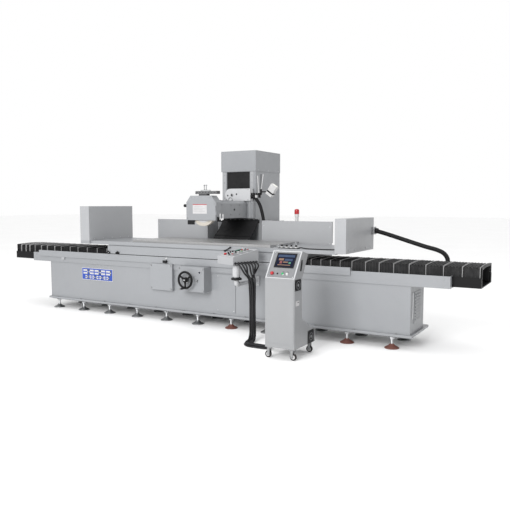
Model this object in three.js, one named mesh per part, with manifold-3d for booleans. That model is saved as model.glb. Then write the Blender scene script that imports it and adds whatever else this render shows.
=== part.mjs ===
// Column-type hydraulic surface grinder, in millimetres, +Z up.
// +X runs along the table to the operator's right and +Y runs from the operator to the back.
// The drawing frame has x = 0 at the bed's middle, y = 0 on the bed's front face and z = 0 on the
// floor. The finished group is moved so that the origin is the middle of the machine's footprint.
import * as THREE from 'three';
import { mergeVertices } from 'three/addons/utils/BufferGeometryUtils.js';
import Module from 'manifold-3d';

const wasm = await Module();
wasm.setup();

// ---------------------------------------------------------------- driving dimensions
const GAP = 0.3; // air left between touching pieces
const SHEET = 8; // folded sheet-metal wall

const BED = { x0: -2504, x1: 2505, depth: 620, endDepth: 485, endStep: 85, z0: 128, z1: 632 };
const FLANGE = { out: 23, height: 24 };
const BED_WALL = 28;
const BED_CELLS = 10;
const FOOT = { count: 11, x0: -2387, pitch: 470.7, y: 31, padR: 72, stemR: 15, padH: 30 };

const TRAY = { x0: -2834, x1: 2874, y0: -12, y1: 640, rim: 749 };
const STRIP = { x0: -2704, x1: 1895, y0: -30, z0: 702, z1: 782 };
const WAY = { length: 4820, vY: 150, flatY: 520, width: 92, shoulder: 765, ridge: 30 };
const BELLOWS = { y0: 71, y1: 596, z0: 657, z1: 849, wall: 20 };
const END_TRAY = { y0: 56, y1: 611, z0: 645, z1: 742, leftEnd: -3287, rightEnd: 3137 };

const TABLE = { x0: -1400, x1: 1360, y0: -30, y1: 772, z0: 790, plateZ: 905, top: 945 };
const TABLE_PLATE = { x0: -1856, x1: 1736.4 };
const CHUCK = { x0: -1020, x1: 950, y0: 20, y1: 730, top: 972 };
const GUARD_FRONT = -56;
const LEFT_GUARD = { x0: -1856, x1: -1696, z0: 945 + GAP, z1: 1391 };
const RIGHT_GUARD = { x0: 1737, x1: 1858, z0: 916, z1: 1271 };
const CYLINDER = { y: 335, z: 716, r: 62, bore: 50, half: 1232, cap: 70, rodR: 24, piston: 45 };
const ROD_POST = { half: 34, width: 60, above: 44 };

const SPLASH = { y: 840, z0: 636, z1: 1213, leftX: -1288, gapX0: -448, gapX1: 380, rightX: 1327 };
const SPLASH_FOLD = { wing: 260, lip: 30, lipZ: 960 };
const SIGNAL = { x: 845, behind: 36, z0: 1140, capZ: 1298, top: 1360 };
const CROSS = { x0: -520, x1: 300, y0: 648, y1: 1960, z0: 60, z1: 600, screwX: -110, screwZ: 540 };
const SADDLE = { x0: -420, x1: 205, y0: 1072, y1: 1860, z1: 840 };
const COLUMN = { x0: -369, x1: 147, y0: 1084, y1: 1747, z1: 1846.7, wall: 26, roof: 90 };
const CAP = { x0: -384, x1: 152, y0: 1076, y1: 1752, z0: 1847, z1: 2116 };
const SHROUD = { y0: 1060, z1: 1190, notchZ: 1070 };
const APRON = { x0: -332, x1: 222, front: 792, frontZ0: 760, fold: 968, top: 1224, thick: 6 };
const WINDOW = { x0: -297, x1: 58, z0: 1610, z1: 1843 };
const NUT = { x0: -180, x1: -40, y: 1250, z0: 1250, z1: 1380, travelDown: 140, travelUp: 220 };
const SCREW = { r: 20, hole: 20.4, collar: 38, collarLength: 28 };

const WHEEL = { x: -112, z: 1331, r: 177.5, y0: 266, y1: 316 };
const GUARD = {
  x0: -340, x1: 89, y0: 235, door: 12, y1: 355, z0: 1224, shoulder: 1441, top: 1521,
  chamfer: 62, latchZ: 1400, knuckleZ: [1290, 1400],
};
const HOUSING = { x0: -262, x1: 60, y0: 355.6, y1: 1019.6, z0: 1243, z1: 1460 };
const CARRIAGE = { x0: -360, x1: 140, y0: 1020, y1: 1075.6, z0: 1235, z1: 1460 };
const DRIVE = { x0: -263, x1: 122, y0: 985, y1: 1065, z: 1541, r: 79 };
const DRESSER = { x0: -220, x1: 98, y0: 262, y1: 322, z0: 1540, z1: 1576, slideX: -102 };
const NOZZLE = { x0: 91, x1: 207, y: 284, z0: 1208, z1: 1222, postX: [124, 164], postZ: [1306, 1300] };
const LAMP = { x: 262, y: 1022, z: 1576, headX: 424, rise: 16, turn: 35 };

const GEARBOX = { x0: -180, x1: 187, y0: -150, z0: 412, z1: 700, boss: 14 };
const ACCESS = { x0: -692, x1: -352, y0: -45, z0: 380, z1: 700 };
const HANDWHEEL = { x: -30, y: -215, z: 552, r: 105, rim: 13, hub: 28, shaft: 12, shaftHole: 12.4 };
const LEVER = { x: -446, z: 730 };

const PENDANT = {
  pivotX: 777, pivotY: -395, z0: 790, front: 872, back: 935, length: 340, depth: 270,
  postU: 90, postW: 60, postZ: 650, armZ: 575,
};
const PENDANT_YAW = THREE.MathUtils.degToRad(70);
const CONSOLE = { x0: 1423, x1: 1723, front: -930, z0: 107, rearAxle: -520 };
const CASTER = { r: 32, width: 24, trail: 18, axle: 4, cheek: 17 };
const ESTOP = { travel: 4, cap: 17, stem: 8, stemHole: 8.5, height: 22, depth: 14 };
const PENDANT_ESTOP = { u: 60, w: 210 };
const CONSOLE_ESTOP = { x: 60, up: 50 };

// ---------------------------------------------------------------- colours
function paint(colour, roughness, metalness = 0) {
  return new THREE.MeshStandardMaterial({ color: colour, roughness, metalness });
}
const GREY = paint(0xa9adb1, 0.45);
const LIGHT = paint(0xd3d6d8, 0.4);
const BLACK = paint(0x141416, 0.7);
const RUBBER = paint(0x0c0c0d, 0.9);
const STEEL = paint(0xb9bbbd, 0.3, 0.9);
const IRON = paint(0x4a4b4d, 0.6, 0.5);
const WHITE = paint(0xf0f0ee, 0.4);
const ABRASIVE = paint(0xe9e2d2, 0.95);
const RED = paint(0xc21818, 0.4);
const RUST = paint(0x5a3029, 0.6);

// ---------------------------------------------------------------- shape helpers
const AXIS = {
  X: new THREE.Vector3(1, 0, 0),
  Y: new THREE.Vector3(0, 1, 0),
  Z: new THREE.Vector3(0, 0, 1),
};

// A closed three.js geometry as a solid that can be joined and cut.
function solid(geometry) {
  const plain = geometry.clone();
  plain.deleteAttribute('normal');
  plain.deleteAttribute('uv');
  const merged = mergeVertices(plain, 1e-4);
  return new wasm.Manifold(new wasm.Mesh({
    numProp: 3,
    vertProperties: new Float32Array(merged.attributes.position.array),
    triVerts: new Uint32Array(merged.index.array),
  }));
}

function box(x0, x1, y0, y1, z0, z1) {
  const geometry = new THREE.BoxGeometry(x1 - x0, y1 - y0, z1 - z0);
  geometry.translate((x0 + x1) / 2, (y0 + y1) / 2, (z0 + z1) / 2);
  return solid(geometry);
}

// A round bar or tapered bar along an axis, from one station to the next.
function bar(axis, centre, from, to, r0, r1 = r0, sides = 16) {
  const geometry = new THREE.CylinderGeometry(r1, r0, to - from, sides);
  if (axis === 'X') geometry.rotateZ(-Math.PI / 2);
  if (axis === 'Z') geometry.rotateX(Math.PI / 2);
  const place = new THREE.Vector3(...centre).addScaledVector(AXIS[axis], (from + to) / 2);
  geometry.translate(place.x, place.y, place.z);
  return solid(geometry);
}

// A turned piece about a vertical axis, from its (radius, height) profile.
function turned(centre, profile, sides) {
  const geometry = new THREE.LatheGeometry(profile.map(([r, z]) => new THREE.Vector2(r, z)), sides);
  geometry.rotateX(Math.PI / 2);
  geometry.translate(...centre);
  return solid(geometry);
}

function outline(points) {
  return new THREE.Shape(points.map(([u, v]) => new THREE.Vector2(u, v)));
}

// An outline of (x, z) points, extruded from y0 to y1.
function prismY(shape, y0, y1) {
  const geometry = new THREE.ExtrudeGeometry(shape, {
    depth: y1 - y0, bevelEnabled: false, curveSegments: 10,
  });
  geometry.rotateX(Math.PI / 2);
  geometry.translate(0, y1, 0);
  return solid(geometry);
}

// An outline of (y, z) points, extruded from x0 to x1.
function prismX(points, x0, x1) {
  const geometry = new THREE.ExtrudeGeometry(outline(points), {
    depth: x1 - x0, bevelEnabled: false,
  });
  geometry.applyMatrix4(new THREE.Matrix4().makeBasis(AXIS.Y, AXIS.Z, AXIS.X));
  geometry.translate(x0, 0, 0);
  return solid(geometry);
}

// A bar of round section along a smooth curve through the given points.
function hose(points, radius, steps, sides = 8) {
  const path = new THREE.CatmullRomCurve3(points.map((p) => new THREE.Vector3(...p)), false, 'centripetal');
  const section = new THREE.Shape();
  section.absarc(0, 0, radius, 0, 2 * Math.PI);
  const geometry = new THREE.ExtrudeGeometry(section, {
    steps, extrudePath: path, curveSegments: sides / 2, bevelEnabled: false,
  });
  return solid(geometry);
}

function join(solids) {
  return solids.reduce((whole, next) => whole.add(next));
}

const group = new THREE.Group();
const cords = new Set();

function add(name, shape, material) {
  const cut = shape.getMesh();
  const geometry = new THREE.BufferGeometry();
  const places = new Float32Array(cut.vertProperties);
  geometry.setAttribute('position', new THREE.BufferAttribute(places, 3));
  geometry.setIndex(new THREE.BufferAttribute(new Uint32Array(cut.triVerts), 1));
  geometry.computeVertexNormals();
  const mesh = new THREE.Mesh(geometry, material);
  mesh.name = name;
  group.add(mesh);
  return mesh;
}

// ---------------------------------------------------------------- bed and its feet
// Ribbed casting: an outer block whose two rows of cells are open downwards.
function makeBed() {
  const { x0, x1, depth, endDepth, endStep, z0, z1 } = BED;
  const middle = box(x0 + endStep, x1 - endStep, 0, depth, z0, z1);
  const ends = box(x0, x1, 0, endDepth, z0, z1);
  const flange = box(x0 - FLANGE.out, x1 + FLANGE.out, -FLANGE.out, depth, z0, z0 + FLANGE.height);
  const pitch = (x1 - x0 - BED_WALL) / BED_CELLS;
  const rib = endDepth / 2;
  const cells = [];
  for (let i = 0; i < BED_CELLS; i += 1) {
    const left = x0 + BED_WALL + i * pitch;
    const right = left + pitch - BED_WALL;
    cells.push(box(left, right, BED_WALL, rib - BED_WALL / 2, z0 - 1, z1 - BED_WALL));
    cells.push(box(left, right, rib + BED_WALL / 2, endDepth - BED_WALL, z0 - 1, z1 - BED_WALL));
  }
  add('bed', join([middle, ends, flange]).subtract(join(cells)), GREY);
}

// Levelling feet: a conical pad and a screwed stem, tied by the bed's foot strip.
function makeFeet(name, y, material) {
  const stripTop = BED.z0 - GAP;
  const parts = [box(BED.x0, BED.x1, y - 22, y + 22, stripTop - 9, stripTop)];
  for (let i = 0; i < FOOT.count; i += 1) {
    const centre = [FOOT.x0 + i * FOOT.pitch, y, 0];
    parts.push(turned(centre, [[0, 0], [FOOT.padR, 0], [FOOT.padR, 8], [FOOT.stemR + 6, FOOT.padH + 8],
      [FOOT.stemR, FOOT.padH + 12], [FOOT.stemR, stripTop - 4], [0, stripTop - 4]], 10));
  }
  add(name, join(parts), material);
}

// ---------------------------------------------------------------- tray, ways and covers
function makeTray() {
  const { x0, x1, y0, y1, rim } = TRAY;
  const z0 = BED.z1 + GAP;
  const shell = box(x0, x1, y0, y1, z0, rim)
    .subtract(box(x0 + SHEET, x1 - SHEET, y0 + SHEET, y1 - SHEET, z0 + SHEET, rim + 1));
  const strip = box(STRIP.x0, STRIP.x1, STRIP.y0, y0 + 1, STRIP.z0, STRIP.z1);
  const slots = [WAY.vY, WAY.flatY].map((y) => box(
    -WAY.length / 2 - 1, WAY.length / 2 + 1, y - WAY.width / 2 - 1, y + WAY.width / 2 + 1, z0 - 1, z0 + 20,
  ));
  slots.push(box(x0 - 1, x1 + 1, BELLOWS.y0 - 4, BELLOWS.y1 + 4, BELLOWS.z0 - 2, rim + 1));
  add('way_tray', join([shell, strip]).subtract(join(slots)), GREY);
}

function makeWays() {
  const foot = BED.z1 + GAP;
  const half = WAY.width / 2;
  const vSection = [[-half, foot], [half, foot], [half, WAY.shoulder], [WAY.ridge, WAY.shoulder],
    [0, WAY.shoulder + WAY.ridge], [-WAY.ridge, WAY.shoulder], [-half, WAY.shoulder]]
    .map(([y, z]) => [WAY.vY + y, z]);
  add('v_way', prismX(vSection, -WAY.length / 2, WAY.length / 2), STEEL);
  add('flat_way', box(-WAY.length / 2, WAY.length / 2, WAY.flatY - half, WAY.flatY + half,
    foot, TABLE.z0 - GAP), STEEL);
}

// A way cover is an inverted channel: front wall, roof and rear wall over the two ways.
function makeBellows(name, x0, x1) {
  const { y0, y1, z0, z1, wall } = BELLOWS;
  const channel = box(x0, x1, y0, y1, z0, z1)
    .subtract(box(x0 - 1, x1 + 1, y0 + wall, y1 - wall, z0 - 1, z1 - wall));
  add(name, channel, BLACK);
}

function makeEndTray(name, x0, x1) {
  const { y0, y1, z0, z1 } = END_TRAY;
  const channel = box(x0, x1, y0, y1, z0, z1)
    .subtract(box(x0 - 1, x1 + 1, y0 + SHEET, y1 - SHEET, z0 + SHEET, z1 + 1));
  add(name, channel, BLACK);
}

// ---------------------------------------------------------------- table drive
// The rod is fixed at both ends of the bed and the cylinder travels on it under the table.
function makeTableDrive() {
  const { y, z, r, bore, half, cap, rodR, piston } = CYLINDER;
  const centre = [0, y, z];
  const end = WAY.length / 2;
  const foot = BED.z1 + SHEET + 2 * GAP;
  const post = (x) => box(x - ROD_POST.half, x + ROD_POST.half,
    y - ROD_POST.width, y + ROD_POST.width, foot, z + ROD_POST.above);
  add('piston_rod', join([
    bar('X', centre, -end, end, rodR),
    bar('X', centre, -piston, piston, bore - GAP),
    post(-end),
    post(end),
  ]), STEEL);
  const bracket = (x) => box(x - 90, x + 90, y - 90, y + 90, z, TABLE.z0 - GAP);
  const tube = join([bar('X', centre, -half, half, r), bracket(-half + 100), bracket(half - 100)]);
  add('table_cylinder', tube
    .subtract(bar('X', centre, -half + cap, half - cap, bore))
    .subtract(bar('X', centre, -half - 1, half + 1, rodR + GAP)), IRON);
}

// ---------------------------------------------------------------- table and what rides on it
function makeTable() {
  const { x0, x1, y0, y1, z0, plateZ, top } = TABLE;
  const body = box(x0, x1, y0, y1, z0, plateZ);
  const plate = box(TABLE_PLATE.x0, TABLE_PLATE.x1, y0, y1, plateZ - 1, top);
  const shelf = box(TABLE_PLATE.x0, LEFT_GUARD.x1, GUARD_FRONT, y0 + 1, plateZ - 1, top);
  const slot = box(x0 - 1, x1 + 1, y0 - 1, y0 + 16, plateZ - 16, plateZ - 4);
  const half = WAY.width / 2 + 6;
  const vee = prismX([[-half, z0 - 1], [half, z0 - 1], [half, z0 + 4], [0, WAY.shoulder + WAY.ridge + 8],
    [-half, z0 + 4]].map(([y, z]) => [WAY.vY + y, z]), x0 - 1, x1 + 1);
  const recess = box(x0 + 60, x1 - 60, WAY.vY + half + 20, WAY.flatY - half - 20, z0 - 1, z0 + 40);
  add('table', join([body, plate, shelf]).subtract(join([slot, vee, recess])), GREY);
}

function makeChuck() {
  const { x0, x1, y0, y1, top } = CHUCK;
  const bottom = TABLE.top + GAP;
  const plate = box(x0, x1, y0, y1, bottom, top);
  const pitch = 95;
  const bars = [];
  for (let x = x0 + pitch; x < x1 - pitch / 2; x += pitch) {
    bars.push(box(x - 3, x + 3, y0 + 24, y1 - 24, top - 1.2, top + 1));
  }
  add('magnetic_chuck', plate.subtract(join(bars)), STEEL);
}

// End guards are folded boxes, open at the bottom and closed where the coolant hits them.
function makeEndGuards() {
  const hollow = (g) => box(g.x0, g.x1, GUARD_FRONT, TABLE.y1, g.z0, g.z1)
    .subtract(box(g.x0 + SHEET, g.x1 - SHEET, GUARD_FRONT + SHEET, TABLE.y1 - SHEET, g.z0 - 1, g.z1 - SHEET));
  add('end_guard_left', hollow(LEFT_GUARD), LIGHT);
  const rest = box(RIGHT_GUARD.x0, RIGHT_GUARD.x0 + SHEET + 40, 40, 120, TABLE.plateZ, TABLE.top);
  add('end_guard_right', hollow(RIGHT_GUARD).add(rest), LIGHT);
}

// Rigid cable conduit from the right end guard over and down behind the way cover.
function makeTableConduit() {
  const y = 800;
  const x = RIGHT_GUARD.x1;
  const flange = box(x + GAP, x + 12, y - 90, y + 30, 1080, 1165);
  const pipe = hose([[x + 8, y, 1121], [x + 120, y, 1094], [2420, y, 965], [2560, y, 929],
    [2625, y, 898], [2662, y, 850], [2672, y, 780]], 25, 26, 12);
  add('table_conduit', flange.add(pipe), IRON);
}

function makeTripDog(name, x) {
  const { y0, z0 } = TABLE;
  const body = box(x - 24, x + 24, y0 - 22, y0 - GAP, z0 + 2, z0 + 22);
  const tail = box(x - 6, x + 6, y0 - 18, y0 - 6, z0 + 20, z0 + 34);
  add(name, body.add(tail), BLACK);
}

// ---------------------------------------------------------------- front controls
function makeGearbox() {
  const { x0, x1, y0, z0, z1, boss } = GEARBOX;
  const axis = [HANDWHEEL.x, 0, HANDWHEEL.z];
  const wall = 2 * SHEET;
  const inside = box(x0 + wall, x1 - wall, y0 + 70, 1, z0 + wall, BED.z1 - wall);
  const housing = box(x0, x1, y0, -GAP, z0, z1).add(bar('Y', axis, y0 - boss, y0 + 1, 34)).subtract(inside);
  const shaftHole = bar('Y', axis, y0 - boss - 1, y0 + 70, HANDWHEEL.shaftHole);
  const underTray = box(ACCESS.x0 - 1, x1 + 1, TRAY.y0 - GAP, 1, BED.z1 - GAP, z1 + 1);
  add('gearbox_housing', housing.subtract(shaftHole).subtract(underTray), GREY);
  add('access_cover', box(ACCESS.x0, ACCESS.x1, ACCESS.y0, -GAP, ACCESS.z0, ACCESS.z1)
    .subtract(box(ACCESS.x0 + SHEET, ACCESS.x1 - SHEET, ACCESS.y0 + SHEET, 1,
      ACCESS.z0 + SHEET, BED.z1 - SHEET))
    .subtract(underTray), GREY);
}

function makeHandwheel() {
  const { x, y, z, r, rim, hub, shaft } = HANDWHEEL;
  const ring = new THREE.TorusGeometry(r - rim, rim, 8, 24);
  ring.rotateX(Math.PI / 2);
  ring.translate(x, y, z);
  const parts = [solid(ring), bar('Y', [x, 0, z], y - 16, y + 16, hub)];
  const reach = r - 2 * rim - hub / 2 + 6;
  for (let i = 0; i < 3; i += 1) {
    const spoke = new THREE.BoxGeometry(reach, 12, 18);
    spoke.translate(reach / 2 + hub / 2, 0, 0);
    spoke.rotateY(Math.PI / 2 - (i * 2 * Math.PI) / 3);
    spoke.translate(x, y, z);
    parts.push(solid(spoke));
  }
  const grip = THREE.MathUtils.degToRad(270);
  const gripAt = [x + (r - rim) * Math.cos(grip), 0, z + (r - rim) * Math.sin(grip)];
  parts.push(bar('Y', gripAt, y - 85, y, 11));
  parts.push(bar('Y', [x, 0, z], y + 10, GEARBOX.y0 + 60, shaft));
  add('handwheel', join(parts), BLACK);
}

function makeReversingLever() {
  const { x, z } = LEVER;
  const front = STRIP.y0 - GAP;
  add('reversing_lever', join([
    bar('Y', [x, 0, z], front - 12, front, 17),
    bar('Y', [x, 0, z], front - 40, front - 10, 8),
    box(x - 26, x + 26, front - 46, front - 30, z - 16, z + 16),
  ]), BLACK);
}

// ---------------------------------------------------------------- rear splash panels and light
// Each panel is one folded sheet: a lip at its outer end and a wing beside the column.
function makeSplashPanel(name, outer, inner) {
  const { y, z0, z1 } = SPLASH;
  const [x0, x1] = [Math.min(outer, inner), Math.max(outer, inner)];
  const fold = (x, back, low) => box(Math.max(x - SHEET, x0), Math.min(x + SHEET, x1), y, y + back, low, z1);
  add(name, join([
    box(x0, x1, y, y + SHEET, z0, z1),
    fold(outer, SPLASH_FOLD.lip, SPLASH_FOLD.lipZ),
    fold(inner, SPLASH_FOLD.wing, z0),
    box(x0, x1, TRAY.y1 + GAP, y + 1, z0, z0 + SHEET),
  ]), LIGHT);
}

function makeSignalLight() {
  const { x, behind, z0, capZ, top } = SIGNAL;
  const back = SPLASH.y + SHEET;
  const centre = [x, back + behind, 0];
  add('signal_light', join([
    box(x - 14, x + 14, back + GAP, back + 24, z0 - 10, z0 + 50),
    bar('Z', centre, z0, capZ, 27, 27, 20),
    bar('Z', centre, capZ - 1, top, 30, 27, 20),
  ]), WHITE);
}

// ---------------------------------------------------------------- cross base, saddle, column
function makeCrossBase() {
  const { x0, x1, y0, y1, z0, z1, screwX, screwZ } = CROSS;
  const wall = 40;
  const feet = [];
  for (const x of [x0 + 75, x1 - 75]) {
    for (const y of [y0 + 75, (y0 + y1) / 2, y1 - 75]) {
      feet.push(box(x - 75, x + 75, y - 75, y + 75, z0, z0 + wall));
      feet.push(bar('Z', [x, y, 0], 0, 34, 70, 62, 16));
      feet.push(bar('Z', [x, y, 0], 30, z0 + 1, 18, 18, 12));
    }
  }
  const middle = (y0 + y1) / 2;
  const half = (x0 + x1) / 2;
  const cells = [];
  for (const [cx0, cx1] of [[x0 + wall, half - wall / 2], [half + wall / 2, x1 - wall]]) {
    for (const [cy0, cy1] of [[y0 + wall, middle - wall / 2], [middle + wall / 2, y1 - wall]]) {
      cells.push(box(cx0, cx1, cy0, cy1, z0 - 1, z1 - 170));
    }
  }
  const trench = box(screwX - 60, screwX + 60, y0 - 1, y1 - wall, screwZ - 50, z1 + 1);
  const bearing = bar('Y', [screwX, 0, screwZ], y1 - wall - 1, y1 + 1, SCREW.hole);
  add('cross_base', box(x0, x1, y0, y1, z0, z1).subtract(join(cells)).add(join(feet))
    .subtract(trench).subtract(bearing), GREY);
  add('cross_screw', join([
    bar('Y', [screwX, 0, screwZ], y0 + 20, y1 + 30, SCREW.r),
    bar('Y', [screwX, 0, screwZ], y1 - wall - 2 - SCREW.collarLength, y1 - wall - 2, SCREW.collar),
  ]), STEEL);
}

function makeSaddle() {
  const { x0, x1, y0, y1, z1 } = SADDLE;
  const z0 = CROSS.z1 + GAP;
  const block = box(x0, x1, y0, y1, z0, z1);
  const hollow = box(x0 + 60, x1 - 60, y0 + 60, y1 - 60, z0 + 90, z1 + 1);
  const { screwX, screwZ } = CROSS;
  const nut = box(screwX - 45, screwX + 45, y0 + 260, y0 + 380, screwZ - 40, z0 + 5)
    .subtract(bar('Y', [screwX, 0, screwZ], y0 + 259, y0 + 381, SCREW.hole));
  add('saddle', block.subtract(hollow).add(nut), GREY);
}

function makeColumn() {
  const { x0, x1, y0, y1, z1, wall, roof } = COLUMN;
  const z0 = SADDLE.z1 + GAP;
  const shell = box(x0, x1, y0, y1, z0, z1)
    .subtract(box(x0 + wall, x1 - wall, y0 + 70, y1 - wall, z0 - 1, z1 - roof));
  const slot = box(NUT.x0 - 8, NUT.x1 + 8, y0 - 1, y0 + 80,
    NUT.z0 - NUT.travelDown - 8, NUT.z1 + NUT.travelUp + 8);
  const bearing = bar('Z', [CROSS.screwX, NUT.y, 0], z1 - roof - 1, z1 + 1, SCREW.hole);
  const recess = box(WINDOW.x0, WINDOW.x1, y0 - 1, y0 + 12, WINDOW.z0, WINDOW.z1);
  add('column', shell.subtract(join([slot, bearing, recess])), GREY);
  add('elevating_screw', join([
    bar('Z', [CROSS.screwX, NUT.y, 0], NUT.z0 - NUT.travelDown - 100, z1 + 30, SCREW.r),
    bar('Z', [CROSS.screwX, NUT.y, 0], z1 - roof - 2 - SCREW.collarLength, z1 - roof - 2, SCREW.collar),
  ]), STEEL);
}

function makeColumnCovers() {
  const { x0, x1, y0, y1, z0, z1 } = CAP;
  add('column_cap', box(x0, x1, y0, y1, z0, z1)
    .subtract(box(x0 + SHEET, x1 - SHEET, y0 + SHEET, y1 - SHEET, z0 - 1, z1 - SHEET)), GREY);
  const outer = box(SADDLE.x0, SADDLE.x1, SHROUD.y0, SADDLE.y1 - 90, SADDLE.z1 + GAP, SHROUD.z1);
  const inner = box(SADDLE.x0 + SHEET, SADDLE.x1 - SHEET, SHROUD.y0 + SHEET, SADDLE.y1,
    SADDLE.z1 - 1, SHROUD.z1 + 1);
  const notch = box(CARRIAGE.x0 - 12, CARRIAGE.x1 + 12, SHROUD.y0 - 1, SHROUD.y0 + SHEET + 1,
    SHROUD.notchZ, SHROUD.z1 + 1);
  add('column_shroud', outer.subtract(inner).subtract(notch), GREY);
}

// Rubber curtain from the head carriage's foot down to the back of the table.
function makeApron() {
  const { x0, x1, front, frontZ0, fold, top, thick } = APRON;
  const back = SHROUD.y0 - 3;
  add('way_apron', prismX([[back, top], [back, top - 2 * thick], [front + thick, fold - thick],
    [front + thick, frontZ0], [front, frontZ0], [front, fold]], x0, x1), RUBBER);
}

// ---------------------------------------------------------------- grinding head
function makeHead() {
  const c = CARRIAGE;
  const nut = box(NUT.x0, NUT.x1, c.y1 - 1, NUT.y + 60, NUT.z0, NUT.z1)
    .subtract(bar('Z', [CROSS.screwX, NUT.y, 0], NUT.z0 - 1, NUT.z1 + 1, SCREW.hole));
  add('head_carriage', box(c.x0, c.x1, c.y0, c.y1, c.z0, c.z1).add(nut), GREY);
  const h = HOUSING;
  const bevel = 34;
  const section = [[h.x0, h.z0], [h.x1, h.z0], [h.x1, h.z1 - bevel], [h.x1 - bevel, h.z1],
    [h.x0 + bevel, h.z1], [h.x0, h.z1 - bevel]];
  const axis = [WHEEL.x, 0, WHEEL.z];
  add('spindle_housing', prismY(outline(section), h.y0, h.y1)
    .subtract(bar('Y', axis, h.y0 - 1, h.y1 - 20, 52, 52, 32))
    .subtract(bar('Y', axis, 640, h.y1 - 30, 60, 60, 32)), GREY);
}

function guardOutline(inset) {
  const { x0, x1, z0, shoulder, top, chamfer: cut } = GUARD;
  const down = inset > 0 ? z0 - 1 : z0;
  return outline([[x0 + inset, down], [x1 - inset, down], [x1 - inset, shoulder - inset / 2],
    [x1 - cut - inset / 2, top - inset], [x0 + cut + inset / 2, top - inset],
    [x0 + inset, shoulder - inset / 2]]);
}

function makeWheelGuard() {
  const { y0, y1, door } = GUARD;
  const inside = y0 + door;
  const shell = prismY(guardOutline(0), inside + GAP, y1)
    .subtract(prismY(guardOutline(7), inside - 1, y1 - 14))
    .subtract(bar('Y', [WHEEL.x, 0, WHEEL.z], y1 - 20, y1 + 1, 58, 58, 28));
  const knob = [0, (y0 + y1) / 2, GUARD.latchZ];
  const latch = bar('X', knob, GUARD.x0 - 28, GUARD.x0 - 8, 15)
    .add(bar('X', knob, GUARD.x0 - 9, GUARD.x0 + 1, 8));
  add('wheel_guard', shell.add(latch), GREY);
  const knuckles = GUARD.knuckleZ.map((z) => bar('Z', [GUARD.x1 + 5, y0 + door / 2, 0], z, z + 40, 6));
  add('guard_door', join([prismY(guardOutline(0), y0, inside), ...knuckles]), GREY);
}

function makeSpindle() {
  const axis = [WHEEL.x, 0, WHEEL.z];
  add('spindle', join([
    bar('Y', axis, 256, 372, 30),
    bar('Y', axis, 366, 650, 50),
    bar('Y', axis, 645, HOUSING.y1 - 60, 56),
    bar('Y', axis, HOUSING.y1 - 70, HOUSING.y1 - 24, 50),
    bar('Y', axis, WHEEL.y0 - 12, WHEEL.y0 - GAP, 90, 90, 32),
    bar('Y', axis, WHEEL.y0 - 1, WHEEL.y1 + GAP, 63, 63, 32),
    bar('Y', axis, WHEEL.y1 + GAP, WHEEL.y1 + 14, 90, 90, 32),
  ]), STEEL);
  add('grinding_wheel', bar('Y', axis, WHEEL.y0, WHEEL.y1, WHEEL.r, WHEEL.r, 64)
    .subtract(bar('Y', axis, WHEEL.y0 - 1, WHEEL.y1 + 1, 63.5, 63.5, 32)), ABRASIVE);
}

// The belt-side cover is a shallow pan with one round end, open at the back.
function makeDriveCover() {
  const { x0, x1, y0, y1, z, r } = DRIVE;
  const pan = (inset) => {
    const shape = new THREE.Shape();
    shape.moveTo(x1 - inset, z - r + inset);
    shape.lineTo(x1 - inset, z + r - inset);
    shape.lineTo(x0 + r, z + r - inset);
    shape.absarc(x0 + r, z, r - inset, Math.PI / 2, (3 * Math.PI) / 2, false);
    shape.closePath();
    return shape;
  };
  add('drive_cover', prismY(pan(0), y0, y1).subtract(prismY(pan(SHEET), y0 + SHEET, y1 + 1)), WHITE);
}

function makeDresser() {
  const { x0, x1, y0, y1, z0, z1, slideX } = DRESSER;
  const foot = box(WHEEL.x - 60, WHEEL.x + 60, y0, y1, GUARD.top + GAP, z0 + 1);
  add('dresser_bar', box(x0, x1, y0, y1, z0, z1).add(foot), IRON);
  const top = z1 + GAP;
  const post = (x) => join([
    bar('Z', [x, (y0 + y1) / 2, 0], top + 13, top + 60, 5),
    bar('Z', [x, (y0 + y1) / 2, 0], top + 52, top + 76, 9),
  ]);
  add('dresser_slide', join([
    box(slideX - 50, slideX + 70, y0 + 8, y1 - 8, top, top + 14),
    post(slideX - 8),
    post(slideX + 22),
  ]), STEEL);
}

function makeCoolantNozzle() {
  const { x0, x1, y, z0, z1, postX, postZ } = NOZZLE;
  add('coolant_nozzle', join([
    box(x0, x1, y - 16, y + 16, z0, z1),
    box(GUARD.x1 + GAP, x0 + 20, y - 12, y + 12, z1 - 1, z1 + 40),
    ...postX.map((x, i) => bar('Z', [x, y, 0], z1 - 1, postZ[i], 8)),
  ]), RUBBER);
}

// Black bracket on the drive cover with a pivot post, and the lamp that tilts on it.
function makeLamp() {
  const { x, y, z, headX, rise, turn } = LAMP;
  add('cable_bracket', join([
    box(DRIVE.x1 + GAP, x, y - 18, y + 18, z - 40, z - 14),
    bar('Z', [x, y, 0], z - 36, z + 24, 12),
    bar('Z', [x, y, 0], z + 22, z + 224, 5, 5, 10),
    box(x - 36, x - 10, y - 12, y + 12, z - 76, z - 39),
  ]), BLACK);
  const head = new THREE.BoxGeometry(96, 70, 160);
  head.rotateY(THREE.MathUtils.degToRad(turn));
  head.translate(headX, y, z + rise);
  add('lamp', join([
    bar('X', [0, y, z], x + 12 + GAP, x + 90, 8),
    bar('X', [0, y, z], x + 88, x + 138, 14),
    solid(head),
  ]), WHITE);
}

function makeHeadConduit() {
  add('head_conduit', hose([[150, 1022, 1515], [176, 1024, 1500], [205, 1030, 1462], [236, 1036, 1410],
    [262, 1042, 1330], [282, 1048, 1230], [292, 1056, 1120], [296, 1070, 1000], [290, 1090, 900],
    [268, 1120, 830], [230, 1150, 800]], 18, 34), RUBBER);
}

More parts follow.
